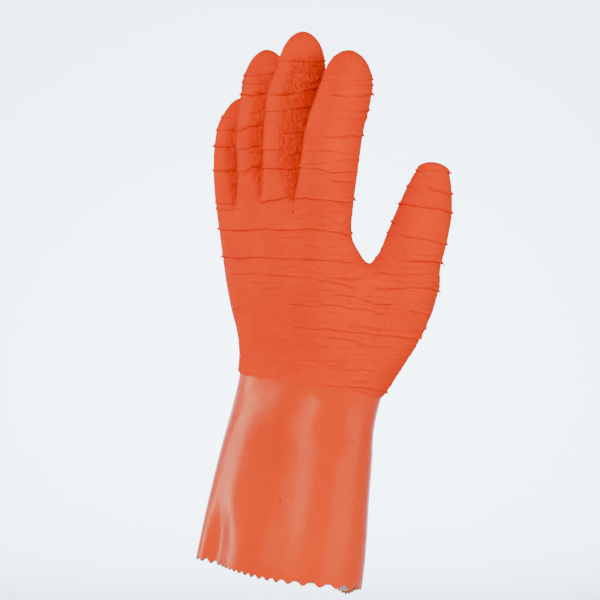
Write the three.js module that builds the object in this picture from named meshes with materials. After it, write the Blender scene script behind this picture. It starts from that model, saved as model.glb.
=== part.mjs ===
// Chemical-resistant work glove for the left hand. A crinkled latex palm carries four fingers and a
// thumb, each a piece of its own from just above its root, so that every hollow opens straight down.
// Below the wrist are a smooth latex gauntlet with a pinked hem and the cotton lining inside it.
// Millimetres. +Z runs from the cuff's mouth to the fingertips, +X to the thumb's side and -Y to the
// back of the hand. The origin is the centre of the cuff's mouth.
import * as THREE from "three";

// Depths below the hand's outer surface, which the cuff's outline continues
const HAND_WALL = 1.8;
const COAT_STEP = 0.6; // the crinkled coat stands proud of the smooth cuff
const LINING_GAP = 0.65;
const LINING_WALL = 0.9;
const FIT_GAP = 0.3; // where one piece ends and the next one goes on

// The cuff's axis leans towards the thumb and the palm, and its two ends lie square to it.
const LEAN_X = 0.085;
const LEAN_Y = 0.155;
const MOUTH_HALF_BREADTH = 50.6;
const MOUTH_HALF_DEPTH = 40.6;
const WAIST_HEADING = 48; // direction in degrees where the cuff's waist is deepest
const WAIST_EVEN = 0.6; // the share of the waist that is the same all round

// The pinked hem, a row of lobes between notches
const LOBE_STEPS = 4;
const LOBE_DEPTH = 1.8;
const FOLD_FROM = 8; // where the hem's own folds start to fade, by station
const FOLD_TOP = 46; // and where they end
const LINING_SETBACK = 1.6; // the lining stops short of the hem

// Spans around each part of a ring
const FINGER_SPANS = 4;
const DORSAL_SPANS = 4 * FINGER_SPANS;
const SIDE_SPANS = 4;

// Distance between plain rings, and the room that a ring keeps below a split
const OUTER_STEP = 7;
const INNER_STEP = 13;
const SPLIT_ROOM = 6;
const LAST_RING = 0.8; // the last ring of a rounded tip, as a share of the rounding's height

// Raised crinkles: half width of the fold, and the height of a full one
const CRINKLE_FOOT = 1.7;
const CRINKLE_LIFT = 1;
const CRINKLE_ROOM = 3.7; // no plain ring comes nearer to a crest
const SWELL = { mean: 0.75, swing: 0.25, x: 0.21, y: 0.17, z: 0.9 }; // crests rise and fall on their way

// The palm and its two splits
const PALM_SQUARENESS = 2.25; // 2 is an ellipse, more is squarer
const CORNER_SHARE = 0.9; // where the back of the hand turns into its side, in half breadths
const THUMB_FILLET = 27; // softness of the join of the palm and the thumb's base
const LEVEL_FROM = 150; // rings lean below this height and lie level above it
const THUMB_SPLIT = 158;
const THUMB_HEADING = 32; // direction in degrees from the palm to the thumb
const THUMB_WEB = { x: 51, y: 20, z: 168.5 };
const LOW_VIEW = { x: 32, y: 17 }; // every point of the lower palm's outline is seen from here
const UPPER_PALM_FIRST_RING = 178;
const FINGER_SPLIT = 196;
const FINGER_WEBS = [206.5, 206, 200.5]; // heights, from the index finger's web to the little finger's
const WEB_VALLEY = 1.6; // how far the valley between two fingers dips at the split
const KNUCKLE_SHARES = [0, 0.225, 0.52, 0.795, 1]; // where fingers meet, across the back of the hand

// Directions in degrees, at its lower and upper end, where a part of the palm begins: the back, and
// the side of the thumb after the palm's face
const LOW_BACK = { from: -40, to: -10 };
const LOW_THUMB_SIDE = { from: 100, to: 92 };
const HIGH_BACK = 10;
const HIGH_THUMB_SIDE = 34;

// How an outline is found: every point lies within REACH of the middle
const REACH = 110;
const REACH_STEP = 2;
const HALVINGS = 14;
const OUTLINE_SAMPLES = 48;

// A table is a list of rows, each with the columns named.
function table(columns, rows) {
  const names = columns.split(" ");
  return rows.map((row) => Object.fromEntries(names.map((name, i) => [name, row[i]])));
}

// Palm sections: centre x and y at height z, half breadth a, half thickness b, turn in degrees
const PALM = table("z x y a b turn", [
  [103, 4, 12, 41, 23.3, 4],
  [118, 4, 11.5, 41, 21.6, 3],
  [133, 3, 9.5, 41, 21.8, 1],
  [149, 2, 7, 44.5, 20.5, 0],
  [171, 1, 4.5, 48.5, 19.5, -2],
  [190, -1, 3.5, 51, 18.8, -4],
  [204, -1, 3, 53, 18, -5],
]);

// The base of the thumb beside the palm: centre x and y, half length outwards and half width across
const THUMB_BASE = table("z x y out across", [
  [103, 25, 22, 19, 19.5],
  [118, 34, 28, 21.5, 19.5],
  [133, 44.5, 32.5, 22.5, 19],
  [146, 52, 35.5, 22, 18.3],
  [160, 59, 37.5, 20, 17.5],
]);

// Fingers and thumb: centre line x, y at height z, half breadth a and half thickness b. The last row
// is the tip. The palm ends and the finger's own piece starts at the height of the seam, and the
// tip's rounding starts at round. Each crinkle has its height, its drop from the thumb's side to the
// other, and its lift as a share of a full one.
const INDEX = {
  seam: 210,
  round: 266,
  line: table("z x y a b", [
    [204, 39.6, -2, 15.4, 15],
    [218, 41.3, -2.2, 15.2, 15],
    [240, 42.7, 1, 15, 14.8],
    [259, 43, 7.8, 14.2, 14],
    [266, 43.2, 9.8, 13.4, 13.2],
    [283.2, 43.2, 10.8, 12.2, 12],
  ]),
  crinkles: table("z drop lift", [
    [214, 2, 0.8],
    [222, -2, 0.7],
    [230.5, 2, 0.8],
    [240, -1, 0.8],
    [249, -2, 1],
    [261.5, 2, 0.8],
    [269, -3, 1],
  ]),
};
const MIDDLE = {
  seam: 210,
  round: 275,
  line: table("z x y a b", [
    [204, 11.5, -3, 13.9, 14],
    [218, 10.9, -2.9, 13.6, 13.9],
    [237, 11, -3.2, 13.5, 13.8],
    [259, 11, -0.6, 13.4, 13.5],
    [267, 11, 3, 13.3, 13.3],
    [275, 11, 5.6, 12.7, 12.7],
    [295.4, 11, 7.5, 12, 12],
  ]),
  crinkles: table("z drop lift", [
    [218.5, 2, 0.6],
    [232, -2, 0.7],
    [241, 2, 0.7],
    [253, 2, 0.8],
    [264, -3, 1],
    [280, 2, 0.8],
  ]),
};
const RING = {
  seam: 209,
  round: 267,
  line: table("z x y a b", [
    [203, -15.5, 3.2, 12.8, 13.4],
    [218, -16.2, 2.7, 12.6, 13.3],
    [237, -17.5, 0.9, 12.6, 13.2],
    [259, -18, 4.2, 12.6, 12.8],
    [275, -18.5, 6.6, 12.6, 12.4],
    [287.6, -18.5, 6.8, 12.4, 12],
  ]),
  crinkles: table("z drop lift", [
    [223, 2, 0.7],
    [236, -2, 0.7],
    [247, 2, 0.8],
    [262, 2, 1],
    [272, -2, 0.8],
  ]),
};
const LITTLE = {
  seam: 207,
  round: 241,
  line: table("z x y a b", [
    [201, -41.6, 5, 12.1, 12.6],
    [220, -44, 4.8, 11.9, 12.5],
    [242, -46, 9.4, 11.8, 12.2],
    [253, -46.3, 12.2, 11.6, 12],
    [262.8, -46.2, 13, 11.4, 11.8],
  ]),
  crinkles: table("z drop lift", [
    [221, 2, 1],
    [234, -2, 1.2],
    [243, 2, 0.8],
  ]),
};
const THUMB = {
  seam: 176,
  round: 207,
  line: table("z x y a b", [
    [170, 61.5, 37.5, 17, 16.5],
    [177, 64.4, 39, 16, 16],
    [188, 68.2, 41.2, 15.3, 15.3],
    [199, 70.7, 43, 15, 15],
    [210, 71.8, 44.8, 14.6, 14.6],
    [223.2, 72.2, 46.8, 14.2, 14.2],
  ]),
  crinkles: table("z drop lift", [
    [184, 2, 1],
    [192, -2, 0.8],
    [200.5, -2, 1.2],
    [209, -2, 1.2],
    [216.5, 2, 0.8],
  ]),
};
const FINGERS = [INDEX, MIDDLE, RING, LITTLE];

// Crinkles across the palm, by height
const LOW_PALM_CRINKLES = table("z lift", [
  [114, 0.6],
  [129, 0.8],
  [143, 0.8],
]);
const UPPER_PALM_CRINKLES = table("z lift", [
  [180, 1],
  [190, 1.1],
]);

// The cuff from its mouth to the wrist, by station along its axis: the share of the hand's own
// outline in it, how far its waist draws in, and the strength of the soft folds down its sides.
// The waist draws in most on the side of the thumb and the palm.
const CUFF = table("z hand waist fold", [
  [0, 0, 0, 1],
  [6, 0.01, 0, 1],
  [28, 0.06, 1.3, 0.9],
  [52, 0.16, 3.4, 0.7],
  [72, 0.32, 4.2, 0.45],
  [86, 0.55, 4.2, 0.2],
  [96, 0.82, 2.2, 0.05],
  [105, 1, 0, 0],
]);

// Soft folds of the cuff: direction in degrees, width in degrees and height, hollows below zero
const CUFF_FOLDS = table("angle width height", [
  [-165, 26, 1.2],
  [-132, 22, 2.2],
  [-92, 24, 0.7],
  [-48, 22, -1],
  [-14, 20, 0.8],
  [40, 26, -1],
  [95, 30, 1],
  [150, 26, -0.9],
]);

// Folds that fade between the hem and FOLD_TOP, on the little finger's side, as above
const HEM_FOLDS = table("angle width height", [
  [-114, 14, -2.4],
  [-98, 18, -1.8],
  [-66, 16, 0.8],
]);

// The hem's lobes by direction, both in degrees: wide towards the thumb's side, else narrow
const LOBE_WIDTHS = table("angle width", [
  [-180, 6],
  [-108, 9],
  [-86, 5],
  [-52, 5.8],
  [-34, 9],
  [-4, 12],
  [24, 12],
  [60, 6],
  [90, 5],
  [180, 6],
]);

// Where the hem sags below its plane: direction in degrees, width in degrees and depth
const HEM_SAGS = table("angle width depth", [
  [-50, 32, 2],
  [20, 26, -0.2],
  [74, 20, 6],
]);

const radians = THREE.MathUtils.degToRad;
const { clamp, lerp, smoothstep } = THREE.MathUtils;
const vector = (x, y, z) => new THREE.Vector3(x, y, z);

// A row of a table at any value of its first column, on a smooth curve through its rows
function rowAt(rows, value) {
  const [first, ...others] = Object.keys(rows[0]);
  let i = 0;
  while (i < rows.length - 2 && value > rows[i + 1][first]) i += 1;
  const low = rows[i];
  const high = rows[i + 1];
  const span = high[first] - low[first];
  const t = clamp((value - low[first]) / span, 0, 1);
  const result = { [first]: value };
  for (const name of others) {
    const chord = (high[name] - low[name]) / span;
    const before = rows[i - 1];
    const after = rows[i + 2];
    const slopeLow = before ? (high[name] - before[name]) / (high[first] - before[first]) : chord;
    const slopeHigh = after ? (after[name] - low[name]) / (after[first] - low[first]) : chord;
    result[name] =
      (2 * t ** 3 - 3 * t ** 2 + 1) * low[name] +
      (t ** 3 - 2 * t ** 2 + t) * span * slopeLow +
      (3 * t ** 2 - 2 * t ** 3) * high[name] +
      (t ** 3 - t ** 2) * span * slopeHigh;
  }
  return result;
}

// How far a point lies outside a rounded shape, measured along the line to its centre
function outside(dx, dy, turn, a, b, squareness) {
  const along = Math.abs(dx * Math.cos(turn) + dy * Math.sin(turn)) / a;
  const across = Math.abs(dy * Math.cos(turn) - dx * Math.sin(turn)) / b;
  const ratio = Math.max((along ** squareness + across ** squareness) ** (1 / squareness), 0.001);
  return Math.hypot(dx, dy) * (1 - 1 / ratio);
}

// How far a point lies outside the palm's section at height z, the thumb's base joined softly to it
// below the split
function outsidePalm(z, withThumb) {
  const palm = rowAt(PALM, z);
  const base = rowAt(THUMB_BASE, z);
  const heading = Math.atan2(base.y - palm.y, base.x - palm.x);
  return (x, y) => {
    const turn = radians(palm.turn);
    const fromPalm = outside(x - palm.x, y - palm.y, turn, palm.a, palm.b, PALM_SQUARENESS);
    if (!withThumb) return fromPalm;
    const fromBase = outside(x - base.x, y - base.y, heading, base.out, base.across, 2);
    const share = clamp(0.5 + (fromBase - fromPalm) / (2 * THUMB_FILLET), 0, 1);
    return lerp(fromBase, fromPalm, share) - THUMB_FILLET * share * (1 - share);
  };
}

// The outline of a section as a function of direction from a middle point inside it
function outlineOf(distance, middle, z) {
  return (angle) => {
    const cos = Math.cos(angle);
    const sin = Math.sin(angle);
    let far = REACH;
    let near = far;
    while (distance(middle.x + near * cos, middle.y + near * sin) > 0) {
      far = near;
      near -= REACH_STEP;
    }
    for (let k = 0; k < HALVINGS; k += 1) {
      const half = (near + far) / 2;
      if (distance(middle.x + half * cos, middle.y + half * sin) > 0) far = half;
      else near = half;
    }
    return vector(middle.x + near * cos, middle.y + near * sin, z);
  };
}

// Points along an outline between two directions, evenly by length or at the given shares of it.
// Directions fall, so the points run clockwise seen from the fingertips.
function pointsBetween(outline, from, to, spans, share = (t) => t) {
  const fine = OUTLINE_SAMPLES;
  const samples = [];
  for (let k = 0; k <= fine; k += 1) samples.push(outline(lerp(from, to, k / fine)));
  const lengths = [0];
  for (let k = 1; k <= fine; k += 1) lengths.push(lengths[k - 1] + samples[k].distanceTo(samples[k - 1]));
  const points = [];
  for (let k = 0; k < spans; k += 1) {
    const wanted = share(k / spans) * lengths[fine];
    let i = 0;
    while (i < fine - 1 && lengths[i + 1] < wanted) i += 1;
    const t = (wanted - lengths[i]) / (lengths[i + 1] - lengths[i]);
    points.push(samples[i].clone().lerp(samples[i + 1], t));
  }
  return points;
}

// A share of the way across the back of the hand, so that four spans lie on each finger
function knuckleShare(t) {
  const place = t * FINGERS.length;
  const i = Math.min(Math.floor(place), FINGERS.length - 1);
  return lerp(KNUCKLE_SHARES[i], KNUCKLE_SHARES[i + 1], place - i);
}

// A ring of the palm, clockwise from the corner between back and thumb: back, little finger's side,
// palm, then the thumb's base (or above the split the plain side)
function palmRing(z, withThumb) {
  const palm = rowAt(PALM, z);
  const middle = withThumb ? LOW_VIEW : palm;
  const outline = outlineOf(outsidePalm(z, withThumb), middle, z);
  const direction = (share, side) => {
    const turn = radians(palm.turn);
    const along = share * palm.a;
    const across = side * palm.b * (1 - Math.abs(share) ** PALM_SQUARENESS) ** (1 / PALM_SQUARENESS);
    const x = palm.x + along * Math.cos(turn) - across * Math.sin(turn);
    const y = palm.y + along * Math.sin(turn) + across * Math.cos(turn);
    return Math.atan2(y - middle.y, x - middle.x);
  };
  const low = smoothstep(z, PALM[0].z, THUMB_SPLIT);
  const high = smoothstep(z, THUMB_SPLIT, FINGER_SPLIT);
  const start = withThumb
    ? radians(lerp(LOW_BACK.from, LOW_BACK.to, low))
    : lerp(radians(HIGH_BACK), direction(CORNER_SHARE, -1), high);
  const whole = 2 * Math.PI;
  const before = (angle, next) => angle - whole * Math.ceil((angle - next) / whole);
  const dorsalUlnar = before(direction(-CORNER_SHARE, -1), start);
  const palmarUlnar = before(direction(-CORNER_SHARE, 1), dorsalUlnar);
  const palmarStart = withThumb
    ? radians(lerp(LOW_THUMB_SIDE.from, LOW_THUMB_SIDE.to, low))
    : lerp(radians(HIGH_THUMB_SIDE), direction(CORNER_SHARE, 1), high);
  const palmarRadial = before(palmarStart, palmarUlnar);
  const mirrored = (t) => 1 - knuckleShare(1 - t);
  const lastSpans = withThumb ? 3 * FINGER_SPANS : SIDE_SPANS;
  return [
    ...pointsBetween(outline, start, dorsalUlnar, DORSAL_SPANS, knuckleShare),
    ...pointsBetween(outline, dorsalUlnar, palmarUlnar, SIDE_SPANS),
    ...pointsBetween(outline, palmarUlnar, palmarRadial, DORSAL_SPANS, mirrored),
    ...pointsBetween(outline, palmarRadial, start - whole, lastSpans),
  ];
}

// Stations run along the cuff's axis, and the planes of equal station lie square to it.
const WRIST = PALM[0];
const WRIST_STATION = WRIST.z + LEAN_X * WRIST.x + LEAN_Y * WRIST.y;

function heightOnStation(station, p) {
  return station - LEAN_X * p.x - LEAN_Y * p.y;
}

// A lower palm ring, which lies square to the cuff's axis at the wrist and level at the thumb's split
function lowPalmRing(z) {
  const points = palmRing(z, true);
  const lean = 1 - smoothstep(z, WRIST.z, LEVEL_FROM);
  for (const p of points) p.z -= lean * (LEAN_X * (p.x - WRIST.x) + LEAN_Y * (p.y - WRIST.y));
  return points;
}

// A ring of a finger, clockwise from its corner towards the back and the thumb, with what a point
// on the rounded tip needs. The ring may drop to one side, shrink by a depth or rise along the axis.
function fingerRing(finger, z, { drop = 0, depth = 0, rise = 0 } = {}) {
  const tip = finger.line[finger.line.length - 1];
  const section = rowAt(finger.line, z);
  const below = rowAt(finger.line, Math.min(z, tip.z - 2) - 2);
  const above = rowAt(finger.line, Math.min(z + 2, tip.z));
  const axis = vector(above.x - below.x, above.y - below.y, above.z - below.z).normalize();
  const heading = finger === THUMB ? radians(THUMB_HEADING) : 0;
  const side = vector(Math.cos(heading), Math.sin(heading), 0);
  const breadthways = side.clone().addScaledVector(axis, -side.dot(axis)).normalize();
  const depthways = axis.clone().cross(breadthways);
  const t = Math.max(0, (z - finger.round) / (tip.z - finger.round));
  const dome = Math.sqrt(Math.max(0, 1 - t * t));
  const place = (x, y, height) =>
    vector(section.x, section.y, z)
      .addScaledVector(breadthways, x * (section.a - depth))
      .addScaledVector(depthways, y * (section.b - depth))
      .addScaledVector(axis, height);
  const points = [];
  for (let k = 0; k < 4 * FINGER_SPANS; k += 1) {
    const angle = radians(-45 - (k * 360) / (4 * FINGER_SPANS));
    const height = rise + (drop / 2) * Math.cos(angle);
    points.push(place(dome * Math.cos(angle), dome * Math.sin(angle), height));
  }
  return { points, place, dome, z };
}

// Points of the arch over a web, from one side to the other, the two ends left out
function webArch(from, to, top) {
  const middle = from.clone().lerp(to, 0.5);
  const points = [];
  for (let k = 1; k < SIDE_SPANS; k += 1) {
    const angle = (Math.PI * k) / SIDE_SPANS;
    const towardsStart = from.clone().sub(middle).multiplyScalar(Math.cos(angle));
    const towardsTop = top.clone().sub(middle).multiplyScalar(Math.sin(angle));
    points.push(middle.clone().add(towardsStart).add(towardsTop));
  }
  return points;
}

// A growing surface of points and four-sided faces. A point may carry a lift, for a crinkle.
class Skin {
  points = [];
  lifts = [];
  faces = [];

  add(points, lift = 0) {
    const first = this.points.length;
    this.points.push(...points);
    this.lifts.push(...points.map(() => lift));
    return points.map((_, i) => first + i);
  }

  // Faces between two closed rings of the same count, the second one nearer the fingertips
  join(low, high) {
    low.forEach((point, i) => {
      const next = (i + 1) % low.length;
      this.faces.push([point, high[i], high[next], low[next]]);
    });
  }

  // The points moved along the surface's own direction, outwards by their lift or inwards by a depth
  moved(depth) {
    const normals = this.points.map(() => vector(0, 0, 0));
    for (const face of this.faces) {
      const [a, b, c, d] = face.map((i) => this.points[i]);
      const normal = c.clone().sub(a).cross(d.clone().sub(b));
      for (const i of face) normals[i].add(normal);
    }
    return this.points.map((p, i) => {
      const phase = SWELL.x * p.x + SWELL.y * p.y + SWELL.z * p.z;
      const swell = SWELL.mean + SWELL.swing * Math.sin(phase);
      return p.clone().addScaledVector(normals[i].normalize(), this.lifts[i] * swell - depth);
    });
  }
}

// Heights of a run of rings: plain ones a step apart, and a foot, crest and foot for each crinkle
function ringHeights(from, to, step, crinkles) {
  const rings = [];
  for (const { z, lift, drop = 0 } of crinkles) {
    rings.push({ z: z - CRINKLE_FOOT, lift: 0, drop });
    rings.push({ z, lift: lift * CRINKLE_LIFT, drop });
    rings.push({ z: z + CRINKLE_FOOT, lift: 0, drop });
  }
  const count = Math.max(1, Math.round((to - from) / step));
  for (let k = 0; k <= count; k += 1) {
    const z = lerp(from, to, k / count);
    const clear = crinkles.every((crinkle) => Math.abs(crinkle.z - z) > CRINKLE_ROOM);
    if (clear) rings.push({ z, lift: 0, drop: 0 });
  }
  return rings.sort((one, other) => one.z - other.z);
}

// The surface of a finger from its seam to its tip, which a square net of faces closes
function fingerSkin(finger, step, crinkled) {
  const skin = new Skin();
  const tip = finger.line[finger.line.length - 1].z;
  const lastRing = lerp(finger.round, tip, LAST_RING);
  const seam = skin.add(fingerRing(finger, finger.seam, { rise: FIT_GAP }).points);
  let last = seam;
  let ring;
  const heights = ringHeights(finger.seam, lastRing, step, crinkled ? finger.crinkles : []);
  for (const { z, lift, drop } of heights.filter((each) => each.z > finger.seam + FIT_GAP)) {
    ring = fingerRing(finger, z, { drop });
    const here = skin.add(ring.points, lift);
    skin.join(last, here);
    last = here;
  }
  const n = FINGER_SPANS;
  const net = [];
  for (let t = 0; t <= n; t += 1) {
    net.push([]);
    for (let s = 0; s <= n; s += 1) {
      if (t === 0) net[t].push(last[s]);
      else if (s === n) net[t].push(last[n + t]);
      else if (t === n) net[t].push(last[3 * n - s]);
      else if (s === 0) net[t].push(last[4 * n - t]);
      else {
        const across = 1 - (2 * s) / n;
        const along = (2 * t) / n - 1;
        const x = across * Math.sqrt(1 - along ** 2 / 2) * ring.dome;
        const y = along * Math.sqrt(1 - across ** 2 / 2) * ring.dome;
        const height = lerp(finger.round, tip, Math.sqrt(1 - x ** 2 - y ** 2)) - ring.z;
        net[t].push(...skin.add([ring.place(x, y, height)]));
      }
    }
  }
  for (let t = 0; t < n; t += 1) {
    for (let s = 0; s < n; s += 1) {
      skin.faces.push([net[t][s], net[t + 1][s], net[t + 1][s + 1], net[t][s + 1]]);
    }
  }
  return { skin, seam };
}

// The surface of the palm, from the wrist's edge to the seams where the fingers and the thumb go on
function palmSkin(step, crinkled) {
  const skin = new Skin();
  const seams = [];
  const palmarRadial = 2 * DORSAL_SPANS + SIDE_SPANS;
  const growTo = (finger, root) => {
    const seam = skin.add(fingerRing(finger, finger.seam).points);
    skin.join(root, seam);
    seams.push({ finger, seam });
  };

  // The lower palm, with the base of the thumb
  const lowCrinkles = crinkled ? LOW_PALM_CRINKLES : [];
  const lowRings = ringHeights(WRIST.z, THUMB_SPLIT - SPLIT_ROOM, step, lowCrinkles).map(
    ({ z, lift }) => skin.add(lowPalmRing(z), lift),
  );
  const split = skin.add(lowPalmRing(THUMB_SPLIT));
  [...lowRings, split].reduce((low, high) => {
    skin.join(low, high);
    return high;
  });

  // The thumb leaves over the arch of its web.
  const web = vector(THUMB_WEB.x, THUMB_WEB.y, THUMB_WEB.z);
  const arch = skin.add(webArch(skin.points[split[0]], skin.points[split[palmarRadial]], web));
  const thumbPart = split.slice(palmarRadial);
  const outerCorner = 2 * FINGER_SPANS;
  const thumbRoot = [
    ...thumbPart.slice(outerCorner),
    split[0],
    ...arch,
    ...thumbPart.slice(0, outerCorner),
  ];
  growTo(THUMB, thumbRoot);

  // The upper palm
  let last = [...split.slice(0, palmarRadial + 1), ...arch.slice().reverse()];
  const highCrinkles = crinkled ? UPPER_PALM_CRINKLES : [];
  const highTop = FINGER_SPLIT - SPLIT_ROOM;
  for (const { z, lift } of ringHeights(UPPER_PALM_FIRST_RING, highTop, step, highCrinkles)) {
    const ring = skin.add(palmRing(z, false), lift);
    skin.join(last, ring);
    last = ring;
  }

  // The fingers leave between valleys, and an arch spans each web.
  const rootPoints = palmRing(FINGER_SPLIT, false);
  for (let f = 1; f < FINGERS.length; f += 1) {
    rootPoints[FINGER_SPANS * f].y += WEB_VALLEY;
    rootPoints[palmarRadial - FINGER_SPANS * f].y -= WEB_VALLEY;
  }
  const roots = skin.add(rootPoints);
  skin.join(last, roots);
  const arches = FINGER_WEBS.map((height, f) => {
    const from = skin.points[roots[FINGER_SPANS * (f + 1)]];
    const to = skin.points[roots[palmarRadial - FINGER_SPANS * (f + 1)]];
    const top = from.clone().lerp(to, 0.5).setZ(height);
    return skin.add(webArch(from, to, top));
  });
  FINGERS.forEach((finger, f) => {
    const start = FINGER_SPANS * f;
    const end = palmarRadial - start;
    const back = roots.slice(start, start + FINGER_SPANS + 1);
    const front = roots.slice(end - FINGER_SPANS, end + 1);
    const littleSide = roots.slice(DORSAL_SPANS + 1, DORSAL_SPANS + SIDE_SPANS);
    const thumbSide = roots.slice(palmarRadial + 1);
    const farSide = f === FINGERS.length - 1 ? littleSide : arches[f];
    const nearSide = f === 0 ? thumbSide : arches[f - 1].slice().reverse();
    growTo(finger, [...back, ...farSide, ...front, ...nearSide]);
  });
  return { skin, rim: lowRings[0], seams };
}

// The cuff's surface at a station and direction, as the hand's outer surface goes on below the wrist
const wristDistance = outsidePalm(WRIST.z, true);

function axisPoint(station) {
  const along = station / (1 + LEAN_X ** 2 + LEAN_Y ** 2);
  return vector(LEAN_X * along, LEAN_Y * along, along);
}

const wristOutline = outlineOf(wristDistance, axisPoint(WRIST_STATION), 0);

function cuffPoint(station, angle) {
  const { hand, waist, fold } = rowAt(CUFF, Math.max(station, 0));
  const centre = axisPoint(station);
  const top = axisPoint(WRIST_STATION);
  const edge = wristOutline(angle);
  const wristReach = Math.hypot(edge.x - top.x, edge.y - top.y);
  const mouthReach =
    (MOUTH_HALF_BREADTH * MOUTH_HALF_DEPTH) /
    Math.hypot(MOUTH_HALF_DEPTH * Math.cos(angle), MOUTH_HALF_BREADTH * Math.sin(angle));
  const waistShare = WAIST_EVEN + (1 - WAIST_EVEN) * Math.cos(angle - radians(WAIST_HEADING));
  let reach = lerp(mouthReach, wristReach, hand) - waist * waistShare;
  for (const each of CUFF_FOLDS) reach += fold * each.height * bell(angle, each) ** 2;
  const low = 1 - smoothstep(station, FOLD_FROM, FOLD_TOP);
  for (const each of HEM_FOLDS) reach += low * each.height * bell(angle, each);
  const point = vector(centre.x + reach * Math.cos(angle), centre.y + reach * Math.sin(angle), 0);
  point.z = heightOnStation(station, point);
  return point;
}

// How much of a row's bump there is in a direction, from 0 to 1
function bell(angle, row) {
  const away = angle - radians(row.angle);
  const nearest = Math.atan2(Math.sin(away), Math.cos(away));
  return Math.exp(-((nearest / radians(row.width)) ** 2));
}

// How far the hem sags below its plane in a direction
function sag(angle) {
  return HEM_SAGS.reduce((total, each) => total + each.depth * bell(angle, each), 0);
}

// Directions of the hem's notches, from 180 degrees once round to -180
function notchAngles() {
  const angles = [180];
  while (angles.at(-1) > -180) angles.push(angles.at(-1) - rowAt(LOBE_WIDTHS, angles.at(-1)).width);
  const stretch = 360 / (180 - angles.at(-1));
  return angles.map((angle) => radians(180 - (180 - angle) * stretch));
}

const NOTCHES = notchAngles();
const LOBES = NOTCHES.length - 1;

// Two triangles for a four-sided face, split along its shorter diagonal
function halves(points, [a, b, c, d]) {
  if (points[a].distanceTo(points[c]) <= points[b].distanceTo(points[d])) return [[a, b, c], [a, c, d]];
  return [[a, b, d], [b, c, d]];
}

// A body collects the triangles of one closed surface.
class Body {
  points = [];
  triangles = [];

  // Faces turned outwards, or inwards for the surface of the hollow. Returns the first new point.
  addFaces(points, faces, inwards = false) {
    const first = this.points.length;
    this.points.push(...points);
    for (const face of faces) {
      const moved = face.map((i) => i + first);
      const pieces = moved.length === 3 ? [moved] : halves(this.points, moved);
      for (const [a, b, c] of pieces) this.triangles.push(inwards ? [a, c, b] : [a, b, c]);
    }
    return first;
  }

  // The edge that joins an outer ring and an inner ring of the same count
  addEdge(outer, inner, atTop) {
    outer.forEach((point, i) => {
      const next = (i + 1) % outer.length;
      const low = [point, outer[next], inner[next], inner[i]];
      const face = atTop ? low.reverse() : low;
      this.triangles.push(...halves(this.points, face));
    });
  }

  geometry() {
    const positions = this.triangles.flat().flatMap((i) => this.points[i].toArray());
    const geometry = new THREE.BufferGeometry();
    geometry.setAttribute("position", new THREE.Float32BufferAttribute(positions, 3));
    geometry.computeVertexNormals();
    return geometry;
  }
}

// The palm: an outer surface with crinkles, a plainer inner one, and the edges at wrist and seams
function palmGeometry() {
  const outer = palmSkin(OUTER_STEP, true);
  const inner = palmSkin(INNER_STEP, false);
  const body = new Body();
  const outerPoints = outer.skin.moved(0);
  const innerPoints = inner.skin.moved(HAND_WALL);
  for (const i of outer.rim) outerPoints[i].z = heightOnStation(WRIST_STATION, outerPoints[i]);
  for (const i of inner.rim) innerPoints[i].z = heightOnStation(WRIST_STATION, innerPoints[i]);
  for (const { finger, seam } of inner.seams) {
    const exact = fingerRing(finger, finger.seam, { depth: HAND_WALL }).points;
    seam.forEach((i, k) => innerPoints[i].copy(exact[k]));
  }
  body.addFaces(outerPoints, outer.skin.faces);
  const shift = body.addFaces(innerPoints, inner.skin.faces, true);
  const lifted = (ring) => ring.map((i) => i + shift);
  body.addEdge(outer.rim, lifted(inner.rim), false);
  outer.seams.forEach(({ seam }, k) => body.addEdge(seam, lifted(inner.seams[k].seam), true));
  return body.geometry();
}

// A finger or the thumb, closed at its tip and open towards the palm
function fingerGeometry(finger) {
  const outer = fingerSkin(finger, OUTER_STEP, true);
  const inner = fingerSkin(finger, INNER_STEP, false);
  const body = new Body();
  const innerPoints = inner.skin.moved(HAND_WALL);
  const exact = fingerRing(finger, finger.seam, { depth: HAND_WALL, rise: FIT_GAP }).points;
  inner.seam.forEach((i, k) => innerPoints[i].copy(exact[k]));
  body.addFaces(outer.skin.moved(0), outer.skin.faces);
  const shift = body.addFaces(innerPoints, inner.skin.faces, true);
  body.addEdge(outer.seam, inner.seam.map((i) => i + shift), false);
  return body.geometry();
}

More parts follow.
